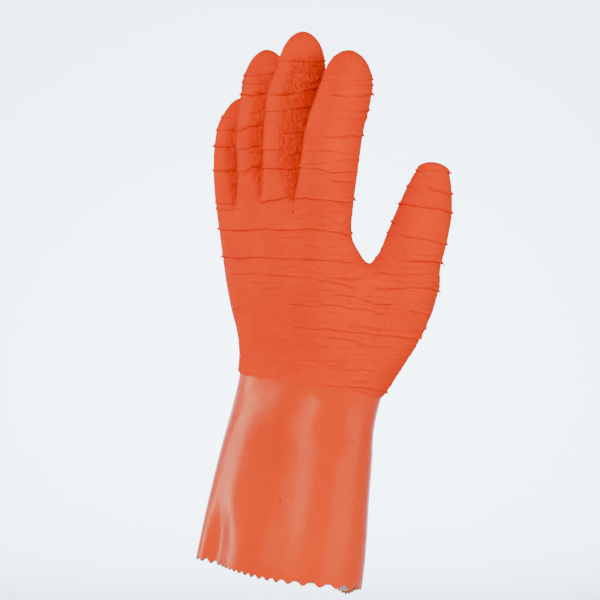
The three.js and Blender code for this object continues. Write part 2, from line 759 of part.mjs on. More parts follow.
// One wall of the cuff, from its hem to its top ring, with a lobe at the foot of each column
function cuffWall(depth, stations) {
  const skin = new Skin();
  const columns = NOTCHES.slice(0, LOBES);
  const rings = stations.map((station) => skin.add(columns.map((angle) => cuffPoint(station, angle))));
  rings.reduce((low, high) => {
    skin.join(low, high);
    return high;
  });
  const points = skin.moved(depth);
  for (const i of rings[rings.length - 1]) {
    points[i].z = heightOnStation(WRIST_STATION - FIT_GAP, points[i]);
  }
  const faces = skin.faces.slice();
  // The hem's points hang below the lowest ring.
  const hem = [];
  for (let k = 0; k < LOBES * LOBE_STEPS; k += 1) {
    const column = Math.floor(k / LOBE_STEPS);
    const share = k / LOBE_STEPS - column;
    const low = points[rings[0][column]];
    const next = points[rings[0][(column + 1) % LOBES]];
    const point = low.clone().lerp(next, share);
    const angle = lerp(NOTCHES[column], NOTCHES[column + 1], share);
    const towards = cuffPoint(0, angle).sub(cuffPoint(stations[0], angle));
    point.x += towards.x;
    point.y += towards.y;
    const notch = LOBE_DEPTH * (1 - Math.sin(Math.PI * share));
    point.z = heightOnStation(notch - sag(angle), point);
    points.push(point);
    hem.push(points.length - 1);
  }
  rings[0].forEach((point, column) => {
    const next = rings[0][(column + 1) % LOBES];
    const first = column * LOBE_STEPS;
    const half = LOBE_STEPS / 2;
    for (let k = 0; k < LOBE_STEPS; k += 1) {
      const one = hem[first + k];
      const other = hem[(first + k + 1) % hem.length];
      faces.push([one, k < half ? point : next, other]);
    }
    faces.push([hem[first + half], point, next]);
  });
  return { points, faces, hem, top: rings[rings.length - 1] };
}

const CUFF_STATIONS = [5, 26, 50, 72, 90, WRIST_STATION - FIT_GAP];
const CUFF_INNER_STATIONS = [5, 36, 66, 86, WRIST_STATION - FIT_GAP];

function cuffGeometry() {
  const outer = cuffWall(COAT_STEP, CUFF_STATIONS);
  const inner = cuffWall(HAND_WALL, CUFF_INNER_STATIONS);
  const body = new Body();
  body.addFaces(outer.points, outer.faces);
  const shift = body.addFaces(inner.points, inner.faces, true);
  body.addEdge(outer.hem, inner.hem.map((i) => i + shift), false);
  body.addEdge(outer.top, inner.top.map((i) => i + shift), true);
  return body.geometry();
}

// The lining: a tube from just inside the hem to the third ring above the wrist
const LINING_STATIONS = [5, 36, 66, 86, 99];
const LINING_HAND_RINGS = 3;

function liningGeometry() {
  const skin = new Skin();
  const centre = axisPoint(WRIST_STATION);
  const wristRing = lowPalmRing(WRIST.z);
  const angles = wristRing.map((p) => Math.atan2(p.y - centre.y, p.x - centre.x));
  const plainHeights = ringHeights(WRIST.z, THUMB_SPLIT - SPLIT_ROOM, INNER_STEP, []);
  const mouth = angles.map((angle) => {
    const point = cuffPoint(0, angle);
    point.z = heightOnStation(LINING_SETBACK - sag(angle), point);
    return point;
  });
  const rings = [skin.add(mouth)];
  for (const station of LINING_STATIONS) rings.push(skin.add(angles.map((a) => cuffPoint(station, a))));
  for (const { z } of plainHeights.slice(0, LINING_HAND_RINGS)) rings.push(skin.add(lowPalmRing(z)));
  rings.reduce((low, high) => {
    skin.join(low, high);
    return high;
  });
  const body = new Body();
  body.addFaces(skin.moved(HAND_WALL + LINING_GAP), skin.faces);
  const shift = body.addFaces(skin.moved(HAND_WALL + LINING_GAP + LINING_WALL), skin.faces, true);
  const lifted = (ring) => ring.map((i) => i + shift);
  body.addEdge(rings[0], lifted(rings[0]), false);
  body.addEdge(rings[rings.length - 1], lifted(rings[rings.length - 1]), true);
  return body.geometry();
}

const LATEX = { color: 0xf05a2c, roughness: 0.75, metalness: 0 };
const SMOOTH_LATEX = { color: 0xec6a40, roughness: 0.4, metalness: 0 };
const COTTON = { color: 0xe2d3cc, roughness: 0.95, metalness: 0 };

function piece(name, geometry, finish) {
  const mesh = new THREE.Mesh(geometry, new THREE.MeshStandardMaterial(finish));
  mesh.name = name;
  return mesh;
}

const glove = new THREE.Group();
glove.add(piece("palm", palmGeometry(), LATEX));
glove.add(piece("thumb", fingerGeometry(THUMB), LATEX));
glove.add(piece("index_finger", fingerGeometry(INDEX), LATEX));
glove.add(piece("middle_finger", fingerGeometry(MIDDLE), LATEX));
glove.add(piece("ring_finger", fingerGeometry(RING), LATEX));
glove.add(piece("little_finger", fingerGeometry(LITTLE), LATEX));
glove.add(piece("gauntlet", cuffGeometry(), SMOOTH_LATEX));
glove.add(piece("liner", liningGeometry(), COTTON));

export default glove;
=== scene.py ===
import math

import bpy
import numpy as np
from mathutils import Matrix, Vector

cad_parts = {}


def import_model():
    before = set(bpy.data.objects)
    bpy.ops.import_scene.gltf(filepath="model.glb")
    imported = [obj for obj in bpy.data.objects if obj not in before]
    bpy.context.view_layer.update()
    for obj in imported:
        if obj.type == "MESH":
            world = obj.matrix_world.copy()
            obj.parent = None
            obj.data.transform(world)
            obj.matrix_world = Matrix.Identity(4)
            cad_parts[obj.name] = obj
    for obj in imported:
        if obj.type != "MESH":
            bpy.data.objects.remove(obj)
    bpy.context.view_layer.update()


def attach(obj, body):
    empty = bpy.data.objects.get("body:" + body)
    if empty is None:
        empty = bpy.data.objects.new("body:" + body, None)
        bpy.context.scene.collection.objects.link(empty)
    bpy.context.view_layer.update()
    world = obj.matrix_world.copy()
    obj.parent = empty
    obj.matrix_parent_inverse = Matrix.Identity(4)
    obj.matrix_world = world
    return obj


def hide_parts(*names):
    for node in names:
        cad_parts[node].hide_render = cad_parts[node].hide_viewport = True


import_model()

# The shapes below are worked out in millimetres and made in metres. +Z runs from the cuff's mouth to
# the fingertips, +X to the thumb's side and -Y to the back of the hand.
MM = 0.001

# Camera: straight at the glove from its back and the thumb's side
VIEW_AZIMUTH = math.radians(48)
VIEW_ACROSS = np.array([math.cos(VIEW_AZIMUTH), math.sin(VIEW_AZIMUTH), 0])
VIEW_ALONG = np.array([-math.sin(VIEW_AZIMUTH), math.cos(VIEW_AZIMUTH), 0])
VIEW_MIDDLE = (10.9, 149.6)  # millimetres across the view, and height
VIEW_TARGET = VIEW_ACROSS * VIEW_MIDDLE[0] + np.array([0, 0, VIEW_MIDDLE[1]])
VIEW_DISTANCE = 1400
VIEW_WIDTH = 327.6

# Sizes that the solids have too
HAND_WALL = 1.8
COAT_STEP = 0.6
LINING_GAP = 0.65
LINING_WALL = 0.9
LEAN_X = 0.085
LEAN_Y = 0.155
MOUTH_HALF_SIZES = (50.6, 40.6)
WAIST_HEADING = math.radians(48)
WAIST_EVEN = 0.6
LOBE_DEPTH = 2.9
LINING_SETBACK = 1.6
FINGER_SPANS = 4
DORSAL_SPANS = 16
SIDE_SPANS = 4
PALMAR_RADIAL = 2 * DORSAL_SPANS + SIDE_SPANS
WIDE_SPANS = PALMAR_RADIAL + 3 * FINGER_SPANS
PALM_SQUARENESS = 2.25
CORNER_SHARE = 0.9
THUMB_FILLET = 27
THUMB_SPLIT = 158
THUMB_HEADING = math.radians(32)
THUMB_WEB = np.array([51.5, 21, 169.5])
LOW_VIEW = (32, 17)
UPPER_PALM_FROM = 178
FINGER_SPLIT = 196
FINGER_WEBS = (206.5, 206, 200.5)
WEB_VALLEY = 1.6
KNUCKLE_SHARES = (0, 0.225, 0.52, 0.795, 1)
RING_STEP = 1.88
CHORD_SHARE = 0.6  # how straight a root's columns run to the digit's own rings
# The coat's lip round the wrist: how far in and how far up each ring lies
LIP = ((1.2, 1.6), (1.15, 0.5), (0.85, -0.35), (0.35, -0.5), (0.05, -0.2))
TIP_RINGS_TO = math.radians(58)  # rings cover this much of a tip's quarter round, and a net the rest
NET_HEIGHT = 2.5  # height in the knit's places for each row of that net
WALES = 5  # of knit to each span
UP = np.array([0, 0, 1.0])


def curve(t, low, low_slope, high, high_slope):
    """A smooth curve from one value to another, at shares t of the way."""
    return (
        (2 * t**3 - 3 * t**2 + 1) * low
        + (t**3 - 2 * t**2 + t) * low_slope
        + (3 * t**2 - 2 * t**3) * high
        + (t**3 - t**2) * high_slope
    )


class Rows:
    """A table whose first column is a height or an angle; a smooth curve runs through its rows."""

    def __init__(self, *rows):
        self.rows = np.array(rows, float)

    def at(self, z):
        z = np.asarray(z, float)[..., None]
        r = self.rows
        i = np.searchsorted(r[1:-1, 0], z[..., 0])
        low, high = r[i], r[i + 1]
        before, after = r[np.maximum(i - 1, 0)], r[np.minimum(i + 2, len(r) - 1)]
        span = high[..., :1] - low[..., :1]
        t = np.clip((z - low[..., :1]) / span, 0, 1)
        slope_low = (high - before) / (high[..., :1] - before[..., :1])
        slope_high = (after - low) / (after[..., :1] - low[..., :1])
        return np.moveaxis(curve(t, low, span * slope_low, high, span * slope_high)[..., 1:], -1, 0)


# The palm's sections: height, place x and y, half breadth, half depth, and turn in degrees
PALM = Rows(
    (103, 4, 12, 41, 23.3, 4),
    (118, 4, 11.5, 41, 21.6, 3),
    (133, 3, 9.5, 41, 21.8, 1),
    (149, 2, 7, 44.5, 20.5, 0),
    (171, 1, 4.5, 48.5, 19.5, -2),
    (190, -1, 3.5, 51, 18.8, -4),
    (204, -1, 3, 53, 18, -5),
)
# The thumb's base: height, place x and y, and reach outwards and across
THUMB_BASE = Rows(
    (103, 25, 22, 19, 19.5),
    (118, 34, 28, 21.5, 19.5),
    (133, 44.5, 32.5, 22.5, 19),
    (146, 52, 35.5, 22, 18.3),
    (160, 59, 37.5, 20, 17.5),
)
# The cuff: height, share of the wrist's outline, how far the waist is drawn in, and share of the folds
CUFF = Rows(
    (0, 0, 0, 1),
    (6, 0.01, 0, 1),
    (28, 0.06, 1.3, 0.9),
    (52, 0.16, 3.4, 0.7),
    (72, 0.32, 4.2, 0.45),
    (86, 0.55, 4.2, 0.2),
    (96, 0.82, 2.2, 0.05),
    (105, 1, 0, 0),
)
# Soft folds of the cuff: direction in degrees, width in degrees and height
CUFF_FOLDS = (
    (-165, 26, 1.2), (-132, 22, 2.2), (-92, 24, 0.7), (-48, 22, -1),
    (-14, 20, 0.8), (40, 26, -0.6), (95, 30, 1), (150, 26, -0.9),
)
# Short folds above the hem on the little finger's side, as above, and the heights where they fade out
HEM_FOLDS = ((-114, 14, -3.6), (-98, 17, -2.6), (-66, 15, 1))
HEM_FOLDS_FADE = (8, 46)
# Soft folds of the neck, just under the coat's edge, and the heights where they fade in and out
NECK_FOLDS = ((-66, 17, 1.6), (-22, 17, -1.5))
NECK_FOLDS_RISE, NECK_FOLDS_FADE = (66, 90), (99, 104.5)
# The hem's lobes by direction, both in degrees: wide towards the thumb's side, else narrow
LOBE_WIDTHS = Rows(
    (-180, 6), (-108, 9), (-86, 6.3), (-52, 6.2), (-34, 9),
    (-4, 12), (24, 12), (60, 6), (90, 5), (180, 6),
)
# Where the hem sags: direction in degrees, width in degrees and depth
HEM_SAGS = ((-50, 32, 2), (20, 26, -0.2), (74, 20, 6))


class Digit:
    """Its rows hold height, place x and y, half breadth and half depth."""

    def __init__(self, name, seam, round_from, heading, *rows):
        self.name, self.seam, self.round_from, self.heading = name, seam, round_from, heading
        self.line = Rows(*rows)
        self.top = rows[-1][0]


INDEX = Digit(
    "index", 210, 266, 0,
    (204, 39.6, -2, 15.4, 15),
    (218, 41.3, -2.2, 15.2, 15),
    (240, 42.7, 1, 15, 14.8),
    (259, 43, 7.8, 14.2, 14),
    (266, 43.2, 9.8, 13.4, 13.2),
    (283.2, 43.2, 10.8, 12.2, 12),
)
MIDDLE = Digit(
    "middle", 210, 275, 0,
    (204, 11.5, -3, 13.9, 14),
    (218, 10.9, -2.9, 13.6, 13.9),
    (237, 11, -3.2, 13.5, 13.8),
    (259, 11, -0.6, 13.4, 13.5),
    (267, 11, 3, 13.3, 13.3),
    (275, 11, 5.6, 12.7, 12.7),
    (295.4, 11, 7.5, 12, 12),
)
RING = Digit(
    "ring", 209, 267, 0,
    (203, -15.5, 3.2, 12.8, 13.4),
    (218, -16.2, 2.7, 12.6, 13.3),
    (237, -17.5, 0.9, 12.6, 13.2),
    (259, -18, 4.2, 12.6, 12.8),
    (275, -18.5, 6.6, 12.6, 12.4),
    (287.6, -18.5, 6.8, 12.4, 12),
)
LITTLE = Digit(
    "little", 207, 241, 0,
    (201, -41.6, 5, 12.1, 12.6),
    (220, -44, 4.8, 11.9, 12.5),
    (242, -46, 9.4, 11.8, 12.2),
    (253, -46.3, 12.2, 11.6, 12),
    (262.8, -46.2, 13, 11.4, 11.8),
)
THUMB = Digit(
    "thumb", 176, 207, THUMB_HEADING,
    (170, 61.5, 37.5, 17, 16.5),
    (177, 64.4, 39, 16, 16),
    (188, 68.2, 41.2, 15.3, 15.3),
    (199, 70.7, 43, 15, 15),
    (210, 71.8, 44.8, 14.6, 14.6),
    (223.2, 72.2, 46.8, 14.2, 14.2),
)
FINGERS = (INDEX, MIDDLE, RING, LITTLE)
PARTS = ("palm", "thumb", "index", "middle", "ring", "little")

# Raised folds of the coat as the camera sees them, by the parts that they run over. Each fold has its
# height in millimetres, and then points on its line in half millimetres: across the view, and height.
FOLDS = {
    "index": """
    0.5 53,547 81,548; 0.5 83,544 99,545; 0.8 77,539 101,541; 0.7 79,536 101,534;
    0.5 53,529 77,531 99,530; 1.1 57,524 71,522 87,523 101,525; 0.7 71,506 97,507; 0.5 61,498 95,499;
    1 47,478 65,479 93,480; 0.8 33,464 59,463 77,459; 0.6 63,452 81,453; 0.5 27,449 49,450;
    0.9 17,446 47,443 57,440 81,440; 0.9 57,431 77,428""",
    "middle": """
    0.9 1,561 23,561 49,560; 0.5 25,557 45,556; 0.5 13,548 41,550; 0.9 17,534 29,535 45,542;
    1.2 -9,524 9,525 27,529 45,532; 0.8 -19,506 1,506 11,509 35,511; 0.9 5,482 31,483;
    0.8 -19,465 -1,464; 0.7 9,459 29,461; 0.9 -19,444 17,443""",
    "ring": """
    0.6 -27,557 -3,558; 0.8 -39,544 -21,546 -3,548; 0.6 -41,537 -19,536; 1.1 -43,524 -27,524 -11,527;
    0.6 -31,505 -15,505; 0.9 -47,484 -35,489 -19,491; 0.7 -45,465 -25,468; 0.6 -31,462 -19,461;
    1 -47,440 -37,442 -27,446 -17,444; 0.6 -45,437 -31,441""",
    "little": """
    0.7 -65,499 -49,500; 0.9 -73,485 -47,486; 1.3 -77,468 -59,467 -45,467; 1 -77,441 -59,441 -45,442""",
    "little palm": """
    0.7 -68,406 -44,405; 0.6 -68,399 -46,399""",
    "palm ring middle index": """
    1.1 -18,407 -11,409 8,412 18,411 30,412 50,410 70,407 82,410""",
    "palm": """
    1.1 -72,378 -44,376 -20,378 12,377 34,378 52,377 74,372 80,373; 0.5 2,369 24,369; 0.4 26,359 42,359;
    0.9 -66,347 -42,346 -20,347 -2,346 20,345 48,344 76,342; 0.6 -50,329 -20,329 6,327 24,325 38,325;
    0.4 28,333 48,330; 0.8 42,322 56,320 68,317 82,314; 0.4 -30,320 -8,319; 0.5 -14,313 -4,314;
    0.9 58,306 80,305 92,300 104,296 122,295; 0.7 12,296 28,294 40,293 50,295 66,294 82,290;
    0.6 82,292 98,289 110,286; 0.8 140,290 162,284;
    0.8 18,271 32,269 42,268 52,269 74,266 98,263 122,262 136,260 156,258; 0.6 74,273 94,270 118,268;
    0.8 146,269 160,268; 0.6 56,261 78,257 86,254; 0.6 86,252 102,250 122,249; 0.4 18,235 58,233 74,234;
    0.4 52,225 104,223; 0.9 50,206 74,206 98,204 110,201 118,198""",
    "palm thumb": """
    0.7 50,325 74,323 94,324 104,329 112,330 122,328 152,329;
    1.1 106,312 124,312 140,314 158,314 174,309; 1.3 132,342 144,343 158,344 168,343 182,337;
    0.5 132,319 148,320 164,314""",
    "thumb": """
    1.2 148,441 164,442 178,441 192,435; 0.4 148,432 170,431; 0.9 162,422 172,419 182,416 190,414;
    0.7 134,424 142,423; 1.3 126,405 142,404 158,401 168,401 176,399 188,394; 0.9 122,385 130,384;
    0.9 118,372 132,371 148,368 164,366 182,360; 0.4 124,348 146,351 174,348""",
}


def smooth(low, high, x):
    t = np.clip((x - low) / (high - low), 0, 1)
    return t * t * (3 - 2 * t)


def unit(v):
    return v / np.maximum(np.linalg.norm(v, axis=-1, keepdims=True), 1e-9)


def noise(points, size, seed):
    """Smooth noise from about -1 to 1 at points in millimetres; its bumps have one size or three."""
    rng = np.random.default_rng(seed)
    order = rng.permutation(256)
    slopes = unit(rng.normal(size=(256, 3)))
    p = points / np.asarray(size, float) + rng.random(3) * 50
    cell = np.floor(p).astype(int)
    f = p - cell
    w = f * f * f * (f * (f * 6 - 15) + 10)
    total = np.zeros(p.shape[:-1])
    for corner in np.ndindex(2, 2, 2):
        c = cell + corner
        h = order[(order[(order[c[..., 0] & 255] + c[..., 1]) & 255] + c[..., 2]) & 255]
        share = np.prod(np.where(corner, w, 1 - w), axis=-1)
        total += share * (slopes[h] * (f - corner)).sum(-1)
    return total * 1.6


# Outlines


def outside(dx, dy, turn, a, b, squareness):
    along = np.abs(dx * math.cos(turn) + dy * math.sin(turn)) / a
    across = np.abs(dy * math.cos(turn) - dx * math.sin(turn)) / b
    ratio = np.maximum((along**squareness + across**squareness) ** (1 / squareness), 0.001)
    return np.hypot(dx, dy) * (1 - 1 / ratio)


def outside_palm(z, with_thumb):
    px, py, a, b, turn = PALM.at(z)
    bx, by, out, across = THUMB_BASE.at(z)
    heading = math.atan2(by - py, bx - px)

    def distance(x, y):
        from_palm = outside(x - px, y - py, math.radians(turn), a, b, PALM_SQUARENESS)
        if not with_thumb:
            return from_palm
        from_base = outside(x - bx, y - by, heading, out, across, 2)
        share = np.clip(0.5 + (from_base - from_palm) / (2 * THUMB_FILLET), 0, 1)
        return from_base + (from_palm - from_base) * share - THUMB_FILLET * share * (1 - share)

    return distance


def outline_of(distance, middle):
    """The outline round a middle point, as places in the directions asked for."""

    def outline(angles):
        angles = np.asarray(angles, float)
        cos, sin = np.cos(angles), np.sin(angles)
        near, far = np.zeros_like(angles), np.full_like(angles, 110.0)
        for _ in range(22):
            half = (near + far) / 2
            out = distance(middle[0] + half * cos, middle[1] + half * sin) > 0
            near, far = np.where(out, near, half), np.where(out, half, far)
        return np.stack([middle[0] + near * cos, middle[1] + near * sin], axis=-1)

    return outline


def points_between(outline, start, end, shares):
    """Points at shares of the outline's length between two directions."""
    samples = outline(np.linspace(start, end, 49))
    lengths = np.concatenate([[0], np.cumsum(np.linalg.norm(np.diff(samples, axis=0), axis=1))])
    return np.stack([np.interp(shares * lengths[-1], lengths, samples[:, i]) for i in (0, 1)], axis=-1)


def even(spans):
    return np.arange(spans) / spans


def at_knuckles(shares):
    return np.interp(shares, np.linspace(0, 1, len(KNUCKLE_SHARES)), KNUCKLE_SHARES)


def palm_ring(z, with_thumb):
    """Clockwise from the corner between back and thumb, as in the solids."""
    px, py, a, b, turn = PALM.at(z)
    turn = math.radians(turn)
    middle = LOW_VIEW if with_thumb else (px, py)
    outline = outline_of(outside_palm(z, with_thumb), middle)

    def direction(share, side):
        along = share * a
        across = side * b * (1 - abs(share) ** PALM_SQUARENESS) ** (1 / PALM_SQUARENESS)
        x = px + along * math.cos(turn) - across * math.sin(turn)
        y = py + along * math.sin(turn) + across * math.cos(turn)
        return math.atan2(y - middle[1], x - middle[0])

    def before(angle, following):
        return angle - 2 * math.pi * math.ceil((angle - following) / (2 * math.pi))

    low = float(smooth(PALM.rows[0, 0], THUMB_SPLIT, z))
    high = float(smooth(THUMB_SPLIT, FINGER_SPLIT, z))
    if with_thumb:
        start = math.radians(-40 + 30 * low)
        palmar = math.radians(100 - 8 * low)
    else:
        start = math.radians(10) * (1 - high) + direction(CORNER_SHARE, -1) * high
        palmar = math.radians(34) * (1 - high) + direction(CORNER_SHARE, 1) * high
    dorsal_ulnar = before(direction(-CORNER_SHARE, -1), start)
    palmar_ulnar = before(direction(-CORNER_SHARE, 1), dorsal_ulnar)
    palmar_radial = before(palmar, palmar_ulnar)
    last_spans = 3 * FINGER_SPANS if with_thumb else SIDE_SPANS
    stretches = [
        points_between(outline, start, dorsal_ulnar, at_knuckles(even(DORSAL_SPANS))),
        points_between(outline, dorsal_ulnar, palmar_ulnar, even(SIDE_SPANS)),
        points_between(outline, palmar_ulnar, palmar_radial, 1 - at_knuckles(1 - even(DORSAL_SPANS))),
        points_between(outline, palmar_radial, start - 2 * math.pi, even(last_spans)),
    ]
    flat = np.concatenate(stretches)
    return np.column_stack([flat, np.full(len(flat), float(z))])


WRIST = PALM.rows[0]
WRIST_STATION = WRIST[0] + LEAN_X * WRIST[1] + LEAN_Y * WRIST[2]
CUFF_AXIS = unit(np.array([LEAN_X, LEAN_Y, 1.0]))


def low_palm_ring(z):
    ring = palm_ring(z, True)
    lean = 1 - float(smooth(WRIST[0], THUMB_SPLIT - 8, z))
    ring[:, 2] -= lean * (LEAN_X * (ring[:, 0] - WRIST[1]) + LEAN_Y * (ring[:, 1] - WRIST[2]))
    return ring


def upper_palm_ring(z):
    """The valleys between the fingers deepen towards the split."""
    ring = palm_ring(z, False)
    valley = WEB_VALLEY * float(smooth(FINGER_SPLIT - 12, FINGER_SPLIT, z))
    for f in (1, 2, 3):
        ring[FINGER_SPANS * f, 1] += valley
        ring[PALMAR_RADIAL - FINGER_SPANS * f, 1] -= valley
    return ring


class Section:
    """A digit's section at a height, with its rounding towards the tip."""

    def __init__(self, digit, z):
        line = digit.line
        self.x, self.y, self.a, self.b = line.at(z)
        low, high = min(z, digit.top - 2) - 2, min(z + 2, digit.top)
        below, above = line.at(low), line.at(high)
        self.axis = unit(np.array([above[0] - below[0], above[1] - below[1], high - low]))
        side = np.array([math.cos(digit.heading), math.sin(digit.heading), 0])
        self.breadthways = unit(side - self.axis * side.dot(self.axis))
        self.depthways = np.cross(self.axis, self.breadthways)
        self.z = z
        t = max(0, (z - digit.round_from) / (digit.top - digit.round_from))
        self.dome = math.sqrt(max(0, 1 - t * t))

    def place(self, x, y, height):
        middle = np.array([self.x, self.y, self.z])
        return middle + self.breadthways * x * self.a + self.depthways * y * self.b + self.axis * height

    def ring(self):
        angles = np.radians(-45 - np.arange(4 * FINGER_SPANS) * 90 / FINGER_SPANS)
        return np.array([self.place(self.dome * math.cos(t), self.dome * math.sin(t), 0) for t in angles])


def web_arch(start, end, top):
    middle = (start + end) / 2
    angles = np.pi * np.arange(1, SIDE_SPANS)[:, None] / SIDE_SPANS
    return middle + (start - middle) * np.cos(angles) + (top - middle) * np.sin(angles)


def bridge(low, low_ways, high, high_ways, count=None):
    """Rings between two rings. Each column leaves and arrives in the ways given."""
    chord = high - low
    reach = np.linalg.norm(chord, axis=1, keepdims=True)
    count = count or max(3, round(float(reach.max()) / RING_STEP))
    low_slopes = low_ways * reach + (chord - low_ways * reach) * CHORD_SHARE
    return [curve(k / count, low, low_slopes, high, high_ways * reach) for k in range(1, count)]


# Orders for a face's corners, which are low and high, then high and low at the next column
OUTWARDS = (0, 1, 2, 3)
OUTWARDS_FROM_SECOND = (1, 2, 3, 0)
INWARDS = (3, 2, 1, 0)
INWARDS_FROM_FIRST = (0, 3, 2, 1)


class Sheet:
    """Faces between rings of points; a face's place is its column and a height."""

    def __init__(self, columns=0):
        self.columns, self.faces, self.places = columns, [], []

    def face(self, corners, column, low, high, order=OUTWARDS, place_order=OUTWARDS):
        places = ((column, low), (column, high), (column + 1, high), (column + 1, low))
        self.faces.append([corners[i] for i in order])
        self.places += [places[i] for i in place_order]

    def join(self, low, high, low_place, high_place, *orders):
        """Join the rings that begin at the points low and high."""
        for c in range(self.columns):
            n = (c + 1) % self.columns
            self.face((low + c, high + c, high + n, low + n), c, low_place, high_place, *orders)

    def grid(self, first, heights, *orders):
        for low, high in zip(heights[:-1], heights[1:]):
            self.join(first, first + self.columns, low, high, *orders)
            first += self.columns


class Cage(Sheet):
    """The coarse net that the hand's smooth surface follows, built upwards ring by ring."""

    def __init__(self):
        super().__init__()
        self.points, self.shares, self.links = [], [], []
        self.ring, self.height = [], None

    def at(self, ids):
        return np.array([self.points[i] for i in ids])

    def add(self, points, share):
        first = len(self.points)
        self.points += list(points)
        self.shares += [share] * len(points)
        return list(range(first, first + len(points)))

    def climb(self, points, share, height, first_column=0):
        """Add a ring above the last one, and join the two."""
        low, high = self.ring, self.add(points, share)
        for i in range(len(low)):
            n = (i + 1) % len(low)
            self.links.append((low[i], high[i]))
            self.face((low[i], high[i], high[n], low[n]), first_column + i, self.height, height)
        self.ring, self.height = high, height

    def ease(self, low, high, rounds, webs=False):
        """Even the points out along their columns between two heights; webs are rounded only when asked."""
        points = np.array(self.points)
        under, over = np.array(self.links).T
        below_count = np.bincount(over, minlength=len(points))
        above_count = np.bincount(under, minlength=len(points))
        strength = smooth(low, low + 10, points[:, 2]) * (1 - smooth(high - 10, high, points[:, 2])) * 0.5
        web = (below_count == 0) & (above_count == 2) & webs
        strength[((below_count == 0) | (above_count == 0)) & ~web] = 0
        for _ in range(rounds):
            below, above = np.zeros((2, *points.shape))
            np.add.at(below, over, points[under])
            np.add.at(above, under, points[over])
            below /= np.maximum(below_count, 1)[:, None]
            above /= np.maximum(above_count, 1)[:, None]
            below[web] = above[web]
            points += ((below + above) / 2 - points) * strength[:, None]
        self.points = list(points)

    def soften(self, middle, radius, rounds):
        """Even the surface out in every direction near a point."""
        points = np.array(self.points)
        faces = np.array(self.faces)
        pairs = np.concatenate([faces[:, [i, (i + 1) % 4]] for i in range(4)])
        pairs = np.unique(np.concatenate([pairs, pairs[:, ::-1]]), axis=0)
        count = np.bincount(pairs[:, 0], minlength=len(points))[:, None]
        near = 1 - smooth(radius * 0.4, radius, np.linalg.norm(points - middle, axis=1))
        for _ in range(rounds):
            total = np.zeros_like(points)
            np.add.at(total, pairs[:, 0], points[pairs[:, 1]])
            points += (total / count - points) * (0.5 * near)[:, None]
        self.points = list(points)


def share_of(part, amount=1.0):
    share = np.zeros(len(PARTS))
    share[0] = 1 - amount
    share[PARTS.index(part)] += amount
    return share


def even_heights(low, high):
    """Heights of rings from one height to another."""
    return np.linspace(low, high, round((high - low) / RING_STEP) + 1)


def ways_up(ring_at, z):
    return unit(ring_at(z + 0.5) - ring_at(z - 0.5))


def digit_rings(cage, digit, root, root_ways, root_height, first_column):
    """From the root's ring over the seam to the tip, which a square net closes."""
    seam = Section(digit, digit.seam).ring()
    seam_ways = unit(Section(digit, digit.seam + 1).ring() - seam)
    rings = [*bridge(cage.at(root), root_ways, seam, seam_ways), seam]
    cage.ring, cage.height = root, root_height
    for k, points in enumerate(rings, 1):
        height = root_height + (digit.seam - root_height) * k / len(rings)
        cage.climb(points, share_of(digit.name, k / len(rings)), height, first_column)

    rise = digit.top - digit.round_from
    heights = list(even_heights(digit.seam, digit.round_from)[1:])
    heights += [digit.round_from + rise * math.sin(t) for t in np.linspace(0, TIP_RINGS_TO, 9)[1:]]
    share = share_of(digit.name)
    for z in heights:
        section = Section(digit, z)
        cage.climb(section.ring(), share, z, first_column)

    last, n = cage.ring, FINGER_SPANS
    net = np.zeros((n + 1, n + 1), int)
    net[0] = last[: n + 1]
    net[:, n] = last[n : 2 * n + 1]
    net[n, ::-1] = last[2 * n : 3 * n + 1]
    net[:0:-1, 0] = last[3 * n :]
    for t in range(1, n):
        for s in range(1, n):
            across, along = 1 - 2 * s / n, 2 * t / n - 1
            x = across * math.sqrt(1 - along**2 / 2) * section.dome
            y = along * math.sqrt(1 - across**2 / 2) * section.dome
            height = digit.round_from + rise * math.sqrt(1 - x * x - y * y) - section.z
            net[t, s] = cage.add([section.place(x, y, height)], share)[0]
    for t in range(n):
        low = cage.height + NET_HEIGHT * t
        for s in range(n):
            corners = (net[t, s], net[t + 1, s], net[t + 1, s + 1], net[t, s + 1])
            cage.face(corners, first_column + s, low, low + NET_HEIGHT)


